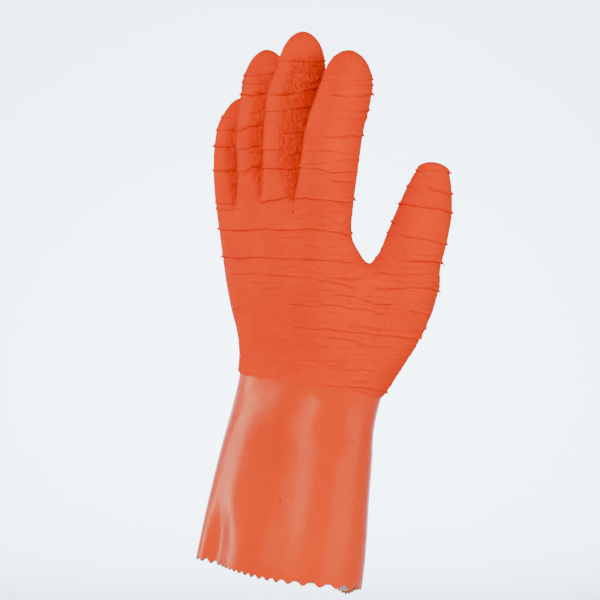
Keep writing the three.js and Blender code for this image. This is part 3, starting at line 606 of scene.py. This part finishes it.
def hand_cage():
    cage = Cage()
    palm = share_of("palm")

    # The lip where the coat ends round the wrist, tucked in over the cuff
    rim = low_palm_ring(WRIST[0])
    tangent = unit(np.roll(rim, -1, axis=0) - np.roll(rim, 1, axis=0))
    out = unit(np.cross(CUFF_AXIS, tangent))
    out *= np.sign((out * (rim - rim.mean(0))).sum(1, keepdims=True))
    for depth, up in LIP:
        cage.climb(rim - out * depth + CUFF_AXIS * up, palm, WRIST[0] + up)

    # The lower palm with the base of the thumb
    for z in even_heights(WRIST[0] + 0.5, THUMB_SPLIT):
        cage.climb(low_palm_ring(z), palm, z)
    split = cage.ring

    # The thumb leaves over the arch of its web.
    corners = cage.at([split[0], split[PALMAR_RADIAL]])
    start, end = corners
    arch_points = web_arch(start, end, THUMB_WEB)
    arch = cage.add(arch_points, share_of("thumb", 0.3))
    chord = end - start
    to_thumb = unit(np.array([chord[1], -chord[0], 0]))
    to_thumb *= np.sign(to_thumb.dot(Section(THUMB, THUMB.seam).ring().mean(0) - arch_points[1]))
    ways = ways_up(low_palm_ring, THUMB_SPLIT - 0.5)
    web_share = np.sin(np.pi * np.arange(1, SIDE_SPANS) / SIDE_SPANS)[:, None]
    arch_share = web_share**0.5
    arch_up = UP * (1 - arch_share)
    corner = PALMAR_RADIAL + 2 * FINGER_SPANS
    root = split[corner:] + [split[0]] + arch + split[PALMAR_RADIAL:corner]
    over_arch = unit(arch_up + to_thumb * arch_share)
    root_ways = np.concatenate([ways[corner:], ways[:1], over_arch, ways[PALMAR_RADIAL:corner]])
    digit_rings(cage, THUMB, root, root_ways, THUMB_SPLIT, corner)

    # The upper palm
    low = split[: PALMAR_RADIAL + 1] + arch[::-1]
    low_ways = np.concatenate([ways[: PALMAR_RADIAL + 1], unit(arch_up - to_thumb * arch_share)[::-1]])
    high = upper_palm_ring(UPPER_PALM_FROM)
    high_ways = ways_up(upper_palm_ring, UPPER_PALM_FROM)
    heights = even_heights(THUMB_SPLIT, UPPER_PALM_FROM)[1:]
    rings = [*bridge(cage.at(low), low_ways, high, high_ways, len(heights)), high]
    cage.ring, cage.height = low, THUMB_SPLIT
    for z, points in zip(heights, rings):
        cage.climb(points, palm, z)
    for z in even_heights(UPPER_PALM_FROM, FINGER_SPLIT)[1:]:
        cage.climb(upper_palm_ring(z), palm, z)
    roots = cage.ring

    # The fingers leave between valleys, and an arch spans each web.
    arches = []
    for f, height in enumerate(FINGER_WEBS, 1):
        start, end = cage.at([roots[FINGER_SPANS * f], roots[PALMAR_RADIAL - FINGER_SPANS * f]])
        top = (start + end) / 2
        top[2] = height
        arches.append(cage.add(web_arch(start, end, top), palm))
    root_ways = ways_up(upper_palm_ring, FINGER_SPLIT - 0.5)

    def palm_side(first, last):
        return roots[first:last], root_ways[first:last]

    def web_side(f, turn):
        sideways = np.array([turn, 0, 0]) * 0.8 * web_share
        return arches[f][::turn], unit(UP * (1 - 0.8 * web_share) + sideways)

    for f, digit in enumerate(FINGERS):
        start = FINGER_SPANS * f
        end = PALMAR_RADIAL - start
        sides = (
            palm_side(start, start + FINGER_SPANS + 1),
            palm_side(DORSAL_SPANS + 1, DORSAL_SPANS + SIDE_SPANS) if digit is LITTLE else web_side(f, 1),
            palm_side(end - FINGER_SPANS, end + 1),
            palm_side(PALMAR_RADIAL + 1, None) if digit is INDEX else web_side(f - 1, -1),
        )
        root = [i for ids, _ in sides for i in ids]
        digit_rings(cage, digit, root, np.concatenate([way for _, way in sides]), FINGER_SPLIT, start)
    cage.ease(180, 236, rounds=120)
    cage.ease(142, 192, rounds=30)
    cage.ease(150, 222, rounds=14, webs=True)
    for corner in corners:
        cage.soften(corner, radius=20, rounds=8)
    return cage


def read(collection, key, width=3):
    values = np.zeros(len(collection) * width)
    collection.foreach_get(key, values)
    return values.reshape(-1, width)


def new_mesh(name, points, faces, places=None):
    mesh = bpy.data.meshes.new(name)
    mesh.from_pydata((np.asarray(points) * MM).tolist(), [], [tuple(int(i) for i in f) for f in faces])
    mesh.polygons.foreach_set("use_smooth", [True] * len(mesh.polygons))
    if places is not None:
        mesh.uv_layers.new(name="knit").data.foreach_set("uv", np.ravel(places).astype(float))
    mesh.update()
    return mesh


def new_object(name, data, material=None):
    if material:
        data.materials.clear()
        data.materials.append(material)
    obj = bpy.data.objects.new(name, data)
    bpy.context.scene.collection.objects.link(obj)
    return obj


def set_values(mesh, name, values):
    mesh.attributes.new(name, "FLOAT", "POINT").data.foreach_set("value", values)


def subdivided(obj, levels):
    modifier = obj.modifiers.new("smooth", "SUBSURF")
    modifier.levels = modifier.render_levels = levels
    modifier.uv_smooth = "NONE"
    modifier.use_limit_surface = True
    evaluated = obj.evaluated_get(bpy.context.evaluated_depsgraph_get())
    mesh = bpy.data.meshes.new_from_object(evaluated)
    obj.modifiers.remove(modifier)
    return mesh


def smoothed(name, cage, points, levels, shares=None):
    """A smooth mesh that passes through the cage's points."""
    points = np.asarray(points)
    aim = points.copy()
    mesh = new_mesh(name, aim, cage.faces, cage.places)
    if shares is not None:
        for i, part in enumerate(PARTS):
            set_values(mesh, part, np.asarray(shares)[:, i])
    obj = new_object(name, mesh)
    for _ in range(3):
        trial = subdivided(obj, 1)
        aim += points - read(trial.vertices, "co")[: len(points)] / MM
        bpy.data.meshes.remove(trial)
        mesh.vertices.foreach_set("co", (aim * MM).ravel())
        mesh.update()
    result = subdivided(obj, levels)
    bpy.data.objects.remove(obj)
    return result


def seen(points):
    """Where the camera sees points: millimetres across the view, and height."""
    q = points - VIEW_TARGET
    size = VIEW_DISTANCE / (VIEW_DISTANCE + q @ VIEW_ALONG)
    return VIEW_MIDDLE[0] + (q @ VIEW_ACROSS) * size, VIEW_MIDDLE[1] + q[:, 2] * size


def profile(s):
    """A fold over its line: it rises gently from above, tips over, and leaves a dip below."""
    crest = np.where(s > 0, np.exp(-((s / 0.65) ** 2)), np.exp(-((s / 0.4) ** 2)))
    return crest - 0.2 * np.exp(-(((s + 0.95) / 0.4) ** 2))


WRINKLES = 1200


def hand_relief(co, normals, shares):
    """How far the coat is lifted at each point, how far it sags, how dark the painted shade under its folds
    is, and how crumpled it is.
    """
    lift, sag, painted_fold_shade, crackle = np.zeros((4, len(co)))
    across, up = seen(co)
    wander = noise(co, (7, 7, 30), 1) * 0.55 + noise(co, (2.4, 2.4, 12), 2) * 0.3
    strength = np.clip(0.85 + 0.5 * noise(co, (9, 9, 14), 3) + 0.35 * noise(co, (3, 3, 9), 14), 0.25, 1.35)
    # Folds are lower on the far side, and stand out more at the outline.
    facing = normals @ VIEW_ALONG
    strength *= 1 - 0.25 * smooth(-0.1, 0.5, facing) + 0.6 * (1 - smooth(0.1, 0.45, np.abs(facing)))

    def press(where, s, height):
        fold = profile(s) * height
        lift[where] += fold
        sag[where] += np.clip(fold, 0, None) * 0.45
        # Painted shade: this value darkens the coat's colour in the hollow just under each fold.
        painted_fold_shade[where] = np.maximum(painted_fold_shade[where], height * np.exp(-(((s + 0.7) / 0.33) ** 2)))

    for parts, folds in FOLDS.items():
        part = sum(shares[:, PARTS.index(name)] for name in parts.split())
        share = np.clip(part * 1.6 - 0.3, 0, 1) * strength
        for fold in folds.split(";"):
            height, *line = fold.split()
            x, z = np.array([pair.split(",") for pair in line], float).T / 2
            where = np.nonzero((up > z.min() - 7) & (up < z.max() + 7))[0]
            u = across[where]
            ends = smooth(x[0] - 3, x[0] + 1.5, u) * (1 - smooth(x[-1] - 1.5, x[-1] + 3, u))
            s = up[where] - np.interp(u, x, z) + wander[where]
            press(where, s, float(height) * ends * share[where])

    # Short fine wrinkles all over, most of them on the thumb's side of the palm
    rng = np.random.default_rng(7)
    order = np.argsort(co[:, 2])
    heights = co[order, 2]
    on_palm = shares[:, 0]
    thumb_side = smooth(-15, 40, co[:, 0])
    weight = 1.1 + on_palm * smooth(105, 125, co[:, 2]) * (1 - 0.6 * smooth(175, 190, co[:, 2]))
    weight *= 0.35 + 1.1 * thumb_side
    for c in rng.choice(len(co), WRINKLES, replace=False, p=weight / weight.sum()):
        p, n = co[c], normals[c]
        if abs(n[2]) > 0.75:
            continue
        along = unit(np.array([-n[1], n[0], 0]))
        half = rng.uniform(2.5, 5) + 7 * on_palm[c] * rng.random()
        tilt, bend, phase = rng.normal(0, 0.07), rng.uniform(0.1, 0.5), rng.uniform(0, 6)
        height = rng.uniform(0.09, 0.27) + rng.uniform(0, 0.12) * thumb_side[c]
        window = order[np.searchsorted(heights, p[2] - 4) : np.searchsorted(heights, p[2] + 4)]
        q = co[window] - p
        s_along = q @ along
        near = (np.abs(s_along) < half) & (np.abs(q @ n) < 6) & (normals[window] @ n > 0.2)
        window, q, s_along = window[near], q[near], s_along[near]
        fade = (1 - (s_along / half) ** 2) ** 2
        s = (q[:, 2] - tilt * s_along - bend * np.sin(s_along * 0.45 + phase)) / 0.7
        press(window, s, height * fade)

    # Where fingers face each other, the coat is crumpled into small steep cells.
    for digit in FINGERS:
        to_thumb = smooth(0.2, 0.6, normals[:, 0]) * (digit is not INDEX)
        to_little = smooth(0.2, 0.6, -normals[:, 0]) * (digit is not LITTLE)
        reach = smooth(197, 204, co[:, 2]) * (1 - smooth(digit.top - 22, digit.top - 8, co[:, 2]))
        share = smooth(0.2, 0.6, shares[:, PARTS.index(digit.name)])
        crackle = np.maximum(crackle, (to_thumb + to_little) * reach * share)
    cells = noise(co, (2.8, 2.8, 4), 4) + 0.6 * noise(co, (2.4, 2.4, 1.6), 5)
    lift += crackle * (0.7 * np.abs(cells) - 0.2)

    # The whole coat is a little uneven, and stands out a little more than the solids' wall.
    lift += 0.5 + 0.12 * noise(co, (16, 16, 11), 6) + 0.06 * noise(co, (5, 5, 3), 8)
    return lift, sag, np.clip(painted_fold_shade, 0, 1), crackle


# Materials

# Faces of the cuff's cut edge carry this height in their places.
CUT_EDGE_MARK = -60
COURSE = 1.1  # height of one row of the lining's knit


class Nodes:
    """Short ways to make and join shader nodes."""

    def __init__(self, name, base, roughness, specular):
        self.material = bpy.data.materials.new(name)
        self.material.use_nodes = True
        self.material.diffuse_color = (*base, 1)
        self.tree = self.material.node_tree
        self.sockets = self.tree.nodes["Principled BSDF"].inputs
        self.sockets["Base Color"].default_value = (*base, 1)
        self.sockets["Roughness"].default_value = roughness
        self.sockets["Specular IOR Level"].default_value = specular
        self.place = self.make("ShaderNodeTexCoord", "Object")

    def link(self, source, target):
        if isinstance(source, (int, float)):
            target.default_value = source
        elif isinstance(source, tuple):
            target.default_value = (*source, 1) if len(source) < len(target.default_value) else source
        else:
            self.tree.links.new(source, target)

    def make(self, kind, output, inputs=None, **settings):
        """One output of a new node with these inputs and settings."""
        node = self.tree.nodes.new(kind)
        for key, value in settings.items():
            setattr(node, key, value)
        for key, source in (inputs or {}).items():
            self.link(source, node.inputs[key])
        return node.outputs[output]

    def noise(self, per_millimetre, detail=2.0, roughness=0.5, distortion=0.0):
        scale = tuple(float(s) / MM for s in np.broadcast_to(per_millimetre, 3))
        place = self.make("ShaderNodeMapping", "Vector", {"Vector": self.place, "Scale": scale})
        shape = {"Scale": 1, "Detail": detail, "Roughness": roughness, "Distortion": distortion}
        return self.make("ShaderNodeTexNoise", "Fac", {"Vector": place, **shape})

    def knit(self):
        """The place on the knit: column and height."""
        place = self.make("ShaderNodeUVMap", "UV", uv_map="knit")
        return [self.make("ShaderNodeSeparateXYZ", axis, {"Vector": place}) for axis in "XY"]

    def math(self, operation, a, b=0.0, c=0.0, clamp=False):
        return self.make("ShaderNodeMath", 0, {0: a, 1: b, 2: c}, operation=operation, use_clamp=clamp)

    def total(self, *terms):
        """The sum of values, each times its weight."""
        result = 0.0
        for value, weight in terms:
            result = self.math("MULTIPLY_ADD", value, weight, result)
        return result

    def ramp(self, value, low, high, to_low=0.0, to_high=1.0):
        ends = {"From Min": low, "From Max": high, "To Min": to_low, "To Max": to_high}
        return self.make("ShaderNodeMapRange", "Result", {"Value": value, **ends})

    def mix(self, share, a, b):
        return self.make("ShaderNodeMix", "Result", {"Factor": share, "A": a, "B": b}, data_type="RGBA")

    def attribute(self, name):
        return self.make("ShaderNodeAttribute", "Fac", attribute_name=name)

    def finish(self, colour, roughness, height):
        """height is in millimetres."""
        normal = self.make("ShaderNodeBump", "Normal", {"Distance": MM, "Height": height})
        for key, source in (("Base Color", colour), ("Roughness", roughness), ("Normal", normal)):
            self.link(source, self.sockets[key])
        return self.material


def coat_material():
    n = Nodes("crinkled_latex", (0.93, 0.03, 0.0), 0.6, 0.01)
    column, _ = n.knit()
    crackle, painted_fold_shade = n.attribute("crackle"), n.attribute("painted_fold_shade")

    cloud = n.ramp(n.noise(0.06, detail=3), 0.35, 0.65)
    colour = n.mix(cloud, (0.86, 0.034, 0.0), (0.9, 0.043, 0.0))
    # Painted shade: the coat's colour is darkened in the hollow under each fold.
    colour = n.mix(n.math("MULTIPLY", painted_fold_shade, 0.65), colour, (0.45, 0.007, 0.0))
    lumps = n.ramp(n.noise((0.55, 0.55, 0.2), detail=3, roughness=0.6), 0.43, 0.6)
    # Creases run along the lines where a noise crosses its middle.
    field = n.noise((0.6, 0.6, 0.22), distortion=0.8)
    creases = n.ramp(n.math("ABSOLUTE", n.math("SUBTRACT", field, 0.5)), 0, 0.07, 1, 0)
    cracks_and_shade = n.math("MULTIPLY", n.math("MULTIPLY_ADD", creases, 0.6, lumps), crackle)
    # Painted shade: the creases of the crumpled cells between the fingers are darkened in colour; the same
    # pattern also bumps the surface.
    colour = n.mix(n.math("MULTIPLY", cracks_and_shade, 0.26, clamp=True), colour, (0.45, 0.009, 0.0))
    colour = n.mix(n.attribute("edge"), colour, (0.94, 0.042, 0.004))

    roughness = n.ramp(n.noise((0.2, 0.2, 0.4)), 0.3, 0.7, 0.54, 0.66)
    wales = n.math("SINE", n.math("MULTIPLY", column, WALES * 2 * math.pi))
    wavy = n.noise((0.16, 0.16, 1.3), detail=3, roughness=0.6, distortion=0.4)
    streaks, grain = n.noise((1.1, 1.1, 0.09)), n.noise(2.2)
    height = n.total((wales, 0.04), (wavy, 0.13), (streaks, 0.12), (grain, 0.07), (cracks_and_shade, -0.36))
    return n.finish(colour, roughness, height)


def smooth_latex_material():
    n = Nodes("smooth_latex", (0.93, 0.034, 0.001), 0.32, 0.14)
    n.sockets["Specular Tint"].default_value = (1.0, 0.86, 0.62, 1.0)
    _, mark = n.knit()
    cloud = n.ramp(n.noise((0.035, 0.035, 0.02), detail=3), 0.35, 0.65)
    colour = n.mix(cloud, (0.81, 0.042, 0.0), (0.86, 0.051, 0.0))
    specks = n.ramp(n.noise(0.3, detail=0), 0.85, 0.87)
    colour = n.mix(n.math("MULTIPLY", specks, 0.5), colour, (0.4, 0.02, 0.002))
    cut = n.ramp(mark, CUT_EDGE_MARK / 2, CUT_EDGE_MARK / 2 - 1)
    colour = n.mix(cut, colour, (0.42, 0.16, 0.09))
    roughness = n.ramp(n.noise((0.08, 0.08, 0.05), detail=3), 0.3, 0.7, 0.22, 0.3)
    height = n.total((n.noise((0.22, 0.22, 0.1)), 0.12), (n.noise((1.6, 1.6, 1.2), detail=1), 0.008))
    return n.finish(colour, roughness, height)


def cotton_material():
    base, dark = (0.8, 0.68, 0.62), (0.55, 0.42, 0.37)
    n = Nodes("cotton_knit", base, 0.95, 0.15)
    column, row = n.knit()
    wales = n.math("ABSOLUTE", n.math("SINE", n.math("MULTIPLY", column, WALES * math.pi)))
    lean = n.math("MULTIPLY", wales, 1.6)
    courses = n.math("SINE", n.math("MULTIPLY_ADD", row, 2 * math.pi / COURSE, lean))
    fluff = n.noise(2.5, detail=3, roughness=0.65)
    dip = n.total((wales, 0.6), (courses, 0.25))
    colour = n.mix(n.ramp(dip, -0.1, 0.7), dark, base)
    colour = n.mix(n.math("MULTIPLY", n.noise(0.05), 0.3), colour, dark)
    return n.finish(colour, n.ramp(fluff, 0.3, 0.7, 0.9, 1.0), n.total((fluff, 0.12), (dip, 0.25)))


def floor_material():
    n = Nodes("studio_paper", (0.8, 0.83, 0.87), 0.9, 0.1)
    colour = n.mix(n.noise(0.0006), (0.8, 0.83, 0.87), (0.82, 0.85, 0.88))
    roughness = n.ramp(n.noise(0.002), 0.3, 0.7, 0.86, 0.94)
    return n.finish(colour, roughness, n.noise(0.01))


# Camera

camera = new_object("camera", bpy.data.cameras.new("camera"))
camera.location = (VIEW_TARGET - VIEW_ALONG * VIEW_DISTANCE) * MM
camera.rotation_euler = Vector(VIEW_ALONG).to_track_quat("-Z", "Y").to_euler()
camera.data.lens = camera.data.sensor_width * VIEW_DISTANCE / VIEW_WIDTH
camera.data.clip_start, camera.data.clip_end = 0.05, 50
bpy.context.scene.camera = camera

# The hand: the crinkled coat, and the cotton face inside it

cage = hand_cage()
cage_points = np.array(cage.points)
coat_mesh = smoothed("coat", cage, cage_points, 2, cage.shares)
co, normals = read(coat_mesh.vertices, "co") / MM, read(coat_mesh.vertex_normals, "vector")
shares = np.hstack([read(coat_mesh.attributes[part].data, "value", 1) for part in PARTS])
lift, sag, painted_fold_shade, crackle = hand_relief(co, normals, shares)
above_edge = (co - [WRIST[1], WRIST[2], WRIST[0]]) @ CUFF_AXIS
edge = 1 - smooth(0.3, 2.5, above_edge)
lift *= 1 - edge
# The coat thins out towards its edge, over a longer way on the thumb's side.
thinning = 1 - smooth(-0.5, 3 + 4 * smooth(-30, 30, co[:, 0]), above_edge + 1.2 * noise(co, (7, 7, 3), 12))
lift -= 0.6 * thinning
moved = co + normals * lift[:, None]
moved[:, 2] -= sag * (1 - edge)
moved += CUFF_AXIS * (edge * (0.5 * noise(co, 9, 9) + 0.25 * noise(co, 3, 10)))[:, None]
coat_mesh.vertices.foreach_set("co", (moved * MM).ravel())
for part in PARTS:
    coat_mesh.attributes.remove(coat_mesh.attributes[part])
# The painted shade under the folds is kept on the mesh for the coat's colour.
set_values(coat_mesh, "painted_fold_shade", painted_fold_shade)
set_values(coat_mesh, "crackle", crackle)
set_values(coat_mesh, "edge", thinning)
coat_mesh.update()
coat = new_object("hand_coat", coat_mesh, coat_material())
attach(coat, "root")
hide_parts("palm", "thumb", "index_finger", "middle_finger", "ring_finger", "little_finger")

flat = new_mesh("flat", cage_points, cage.faces)
inner_points = cage_points - read(flat.vertex_normals, "vector") * HAND_WALL
bpy.data.meshes.remove(flat)
# Its rings at the coat's lip are stacked close below the last of them.
lip_rings = inner_points[: len(LIP) * WIDE_SPANS].reshape(len(LIP), WIDE_SPANS, 3)
lip_rings[:] = lip_rings[-1] + np.linspace(-0.5, -0.05, len(LIP))[:, None, None] * CUFF_AXIS
lining_mesh = smoothed("hand_lining", cage, inner_points, 1)
lining_mesh.flip_normals()
cotton = cotton_material()
lining = new_object("hand_lining", lining_mesh, cotton)
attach(lining, "root")

# The cuff

COLUMNS_PER_LOBE = 8
CUFF_RINGS = 48
LINING_RINGS = 34
LINING_TOP = 120
LINING_LEVEL_FROM = 6
HEM_LEVELS = np.array([0, 0.5, 1.1, 1.9, 3, 4.5, 6.5, 9])  # heights of the close rings over the hem


def axis_point(station):
    along = np.asarray(station, float) / (1 + LEAN_X**2 + LEAN_Y**2)
    return along[..., None] * np.array([LEAN_X, LEAN_Y, 1.0])


def bell(angle, degrees, width):
    turn = angle - np.radians(degrees)
    return np.exp(-((np.degrees(np.arctan2(np.sin(turn), np.cos(turn))) / width) ** 2))


wrist_centre = axis_point(WRIST_STATION)
wrist_outline = outline_of(outside_palm(WRIST[0], True), wrist_centre[:2])


def cuff_points(station, angle):
    station, angle = np.broadcast_arrays(np.asarray(station, float), angle)
    hand, waist, fold = CUFF.at(np.maximum(station, 0))
    centre = axis_point(station)
    edge = wrist_outline(angle)
    wrist_reach = np.hypot(edge[..., 0] - wrist_centre[0], edge[..., 1] - wrist_centre[1])
    a, b = MOUTH_HALF_SIZES
    mouth_reach = a * b / np.hypot(b * np.cos(angle), a * np.sin(angle))
    waist_share = WAIST_EVEN + (1 - WAIST_EVEN) * np.cos(angle - WAIST_HEADING)
    reach = mouth_reach + (wrist_reach - mouth_reach) * hand - waist * waist_share
    hem = 1 - smooth(*HEM_FOLDS_FADE, station)
    neck = smooth(*NECK_FOLDS_RISE, station) * (1 - smooth(*NECK_FOLDS_FADE, station))
    for folds, share, power in ((CUFF_FOLDS, fold, 2), (HEM_FOLDS, hem, 1), (NECK_FOLDS, neck, 1)):
        for degrees, width, height in folds:
            reach = reach + share * height * bell(angle, degrees, width) ** power
    x = centre[..., 0] + reach * np.cos(angle)
    y = centre[..., 1] + reach * np.sin(angle)
    return np.stack([x, y, station - LEAN_X * x - LEAN_Y * y], axis=-1)


def hem_sag(angle):
    return sum(depth * bell(angle, degrees, width) for degrees, width, depth in HEM_SAGS)


def notch_angles():
    """Directions of the hem's notches, from 180 degrees once round to -180."""
    angles = [180.0]
    while angles[-1] > -180:
        angles.append(angles[-1] - float(LOBE_WIDTHS.at(angles[-1])[0]))
    return np.radians(180 - (180 - np.array(angles)) * 360 / (180 - angles[-1]))


def grid_normals(points):
    """Outward, for rings that run clockwise and rise row by row."""
    up = np.gradient(points, axis=0)
    onward = np.roll(points, -1, axis=1) - np.roll(points, 1, axis=1)
    return unit(np.cross(up, onward))


def cuff_mesh():
    notches = notch_angles()
    lobes = len(notches) - 1
    columns = lobes * COLUMNS_PER_LOBE
    lobe, share = np.divmod(np.arange(columns) / COLUMNS_PER_LOBE, 1)
    angle = np.interp(lobe + share, np.arange(lobes + 1), notches)
    depth = LOBE_DEPTH * np.random.default_rng(11).uniform(0.9, 1.1, lobes)
    depth = (depth * np.clip(np.degrees(-np.diff(notches)) / 9, 0.6, 1.05))[lobe.astype(int)]
    hem = depth * (1 - np.sin(np.pi * share) ** 1.6) - hem_sag(angle)
    top = HEM_LEVELS[-1]
    stations = [hem + (top - hem) * level / top for level in HEM_LEVELS]
    above = (*np.linspace(top, WRIST_STATION, CUFF_RINGS)[1:], WRIST_STATION + 1.6)
    stations += [np.full(columns, s) for s in above]
    base = cuff_points(np.array(stations), angle)
    n = grid_normals(base)
    uneven = 0.22 * noise(base, (22, 22, 34), 21)

    def wall(inset):
        return base + n * (uneven - inset)[..., None]

    # The cut edge is a little rounded.
    edge = [wall(inset)[0] - CUFF_AXIS * 0.12 for inset in (COAT_STEP + 0.25, HAND_WALL - 0.25)]
    inner = wall(HAND_WALL)[::2]
    heights = [float(np.mean(s)) for s in stations]
    first_inner = len(base) * columns
    first_edge = first_inner + len(inner) * columns
    sheet = Sheet(columns)
    sheet.grid(0, heights)
    sheet.grid(first_inner, heights[::2], INWARDS)
    rings = [0, first_edge, first_edge + columns, first_inner]
    mark = CUT_EDGE_MARK
    for one, other in zip(rings[:-1], rings[1:]):
        sheet.join(one, other, mark, mark - 1, INWARDS_FROM_FIRST, INWARDS_FROM_FIRST)
    # The upper edge is hidden inside the hand.
    sheet.join(first_inner - columns, first_edge - columns, 110, 111)
    points = np.concatenate([*wall(COAT_STEP), *inner, *edge])
    return new_mesh("gauntlet", points, sheet.faces, sheet.places)


gauntlet = new_object("gauntlet_latex", cuff_mesh(), smooth_latex_material())
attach(gauntlet, "root")
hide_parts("gauntlet")


def liner_mesh():
    columns = 3 * WIDE_SPANS
    third, spans = np.arange(columns) / 3, np.arange(WIDE_SPANS + 1)
    rim = low_palm_ring(WRIST[0])
    turns = np.arctan2(rim[:, 1] - wrist_centre[1], rim[:, 0] - wrist_centre[0])
    angle = np.interp(third, spans, np.unwrap(np.append(turns, turns[0])))
    low = LINING_SETBACK - hem_sag(angle)
    stations = [low + (LINING_LEVEL_FROM - low) * s for s in (0, 0.4, 1)]
    level = np.linspace(LINING_LEVEL_FROM, WRIST_STATION, LINING_RINGS)[1:]
    stations += [np.full(columns, s) for s in level]
    rows = list(cuff_points(np.array(stations), angle))
    for z in np.linspace(WRIST[0], LINING_TOP, 8)[1:]:
        ring = low_palm_ring(z)
        ring = np.vstack([ring, ring[:1]])
        rows.append(np.stack([np.interp(third, spans, ring[:, i]) for i in range(3)], axis=-1))
    base = np.array(rows)
    n = grid_normals(base)
    uneven = 0.15 * noise(base, (12, 12, 9), 31)
    outer = base - n * (HAND_WALL + LINING_GAP)
    inner = base - n * (HAND_WALL + LINING_GAP + LINING_WALL + uneven)[..., None]
    heights = [float(row[:, 2].mean()) for row in base]
    first_inner = len(base) * columns
    sheet = Sheet(columns)
    sheet.grid(0, heights)
    sheet.grid(first_inner, heights, INWARDS)
    for first, order in ((0, INWARDS_FROM_FIRST), (first_inner - columns, OUTWARDS_FROM_SECOND)):
        sheet.join(first, first_inner + first, 0, 0.5, order, INWARDS_FROM_FIRST)
    places = np.array(sheet.places) * [1 / 3, 1]
    return new_mesh("liner", np.concatenate([*outer, *inner]), sheet.faces, places)


liner = new_object("cuff_lining", liner_mesh(), cotton)
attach(liner, "root")
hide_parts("liner")

# Studio: a round pale cove that every view stays inside, and soft lights

FLOOR = -0.3
COVE_FLAT = 3.2
COVE_ROUND = 1.6
COVE_COLUMNS = 96


def cove_mesh():
    """A ring for each point of its section: radius and height in metres."""
    section = [(2.2, 0), (COVE_FLAT, 0)]
    for t in np.linspace(0.12, math.pi / 2, 12):
        section.append((COVE_FLAT + COVE_ROUND * math.sin(t), COVE_ROUND * (1 - math.cos(t))))
    section += [(COVE_FLAT + COVE_ROUND, 2.4), (COVE_FLAT + COVE_ROUND, 3.4)]
    turns = 2 * math.pi * np.arange(COVE_COLUMNS) / COVE_COLUMNS
    points = [(r * math.cos(t), r * math.sin(t), FLOOR + height) for r, height in section for t in turns]
    sheet = Sheet(COVE_COLUMNS)
    for first in range(0, (len(section) - 1) * COVE_COLUMNS, COVE_COLUMNS):
        sheet.join(first, first + COVE_COLUMNS, 0, 0, OUTWARDS_FROM_SECOND)
    return new_mesh("cove", np.array(points) / MM, [*sheet.faces, range(COVE_COLUMNS)])


cove = new_object("studio_floor", cove_mesh(), floor_material())

world = bpy.data.worlds.new("studio")
world.use_nodes = True
background = world.node_tree.nodes["Background"].inputs
background["Color"].default_value = (0.9, 0.94, 1.0, 1)
background["Strength"].default_value = 0.6
bpy.context.scene.world = world


def away(turn, elevation=0.0):
    """The way out from the glove; turn is in degrees round from the camera's side, to its right."""
    t, e = VIEW_AZIMUTH + math.radians(turn), math.radians(elevation)
    return Vector((math.sin(t) * math.cos(e), -math.cos(t) * math.cos(e), math.sin(e)))


def area_light(name, place, way, width, height, power, colour, spread=180):
    data = bpy.data.lights.new(name, "AREA")
    data.shape = "RECTANGLE"
    data.size, data.size_y, data.energy, data.color = width, height, power, colour
    data.spread = math.radians(spread)
    light = new_object(name, data)
    light.location = place
    light.rotation_euler = way.to_track_quat("-Z", "Y").to_euler()


# Lights that face the glove: turn and elevation in degrees, distance, width, height, power and colour
SOFT_LIGHTS = {
    "above": (20, 55, 1.7, 0.9, 0.9, 6.5, (1, 1, 1)),
    "front": (-18.5, 17, 1.7, 0.6, 0.62, 19, (1, 0.92, 0.72)),
    "left": (-116, 10, 1.3, 0.26, 0.9, 9.5, (1, 0.9, 0.58)),
    "right": (62, -2, 1.6, 1.6, 0.6, 12, (1, 1, 1)),
}
GLOVE_MIDDLE = Vector((0.0, 0.0, 0.16))
for name, (turn, elevation, distance, *rest) in SOFT_LIGHTS.items():
    out = away(turn, elevation)
    area_light(name, GLOVE_MIDDLE + out * distance, -out, *rest)

# The backdrop's light stands behind the glove and shines on the cove's wall.
behind = away(180)
place = behind * 1.8 + Vector((0.0, 0.0, 2.0))
target = behind * 4.3 + Vector((0.0, 0.0, -0.1))
area_light("backdrop", place, target - place, 1.0, 1.0, 205, (0.72, 0.86, 1.0), spread=90)
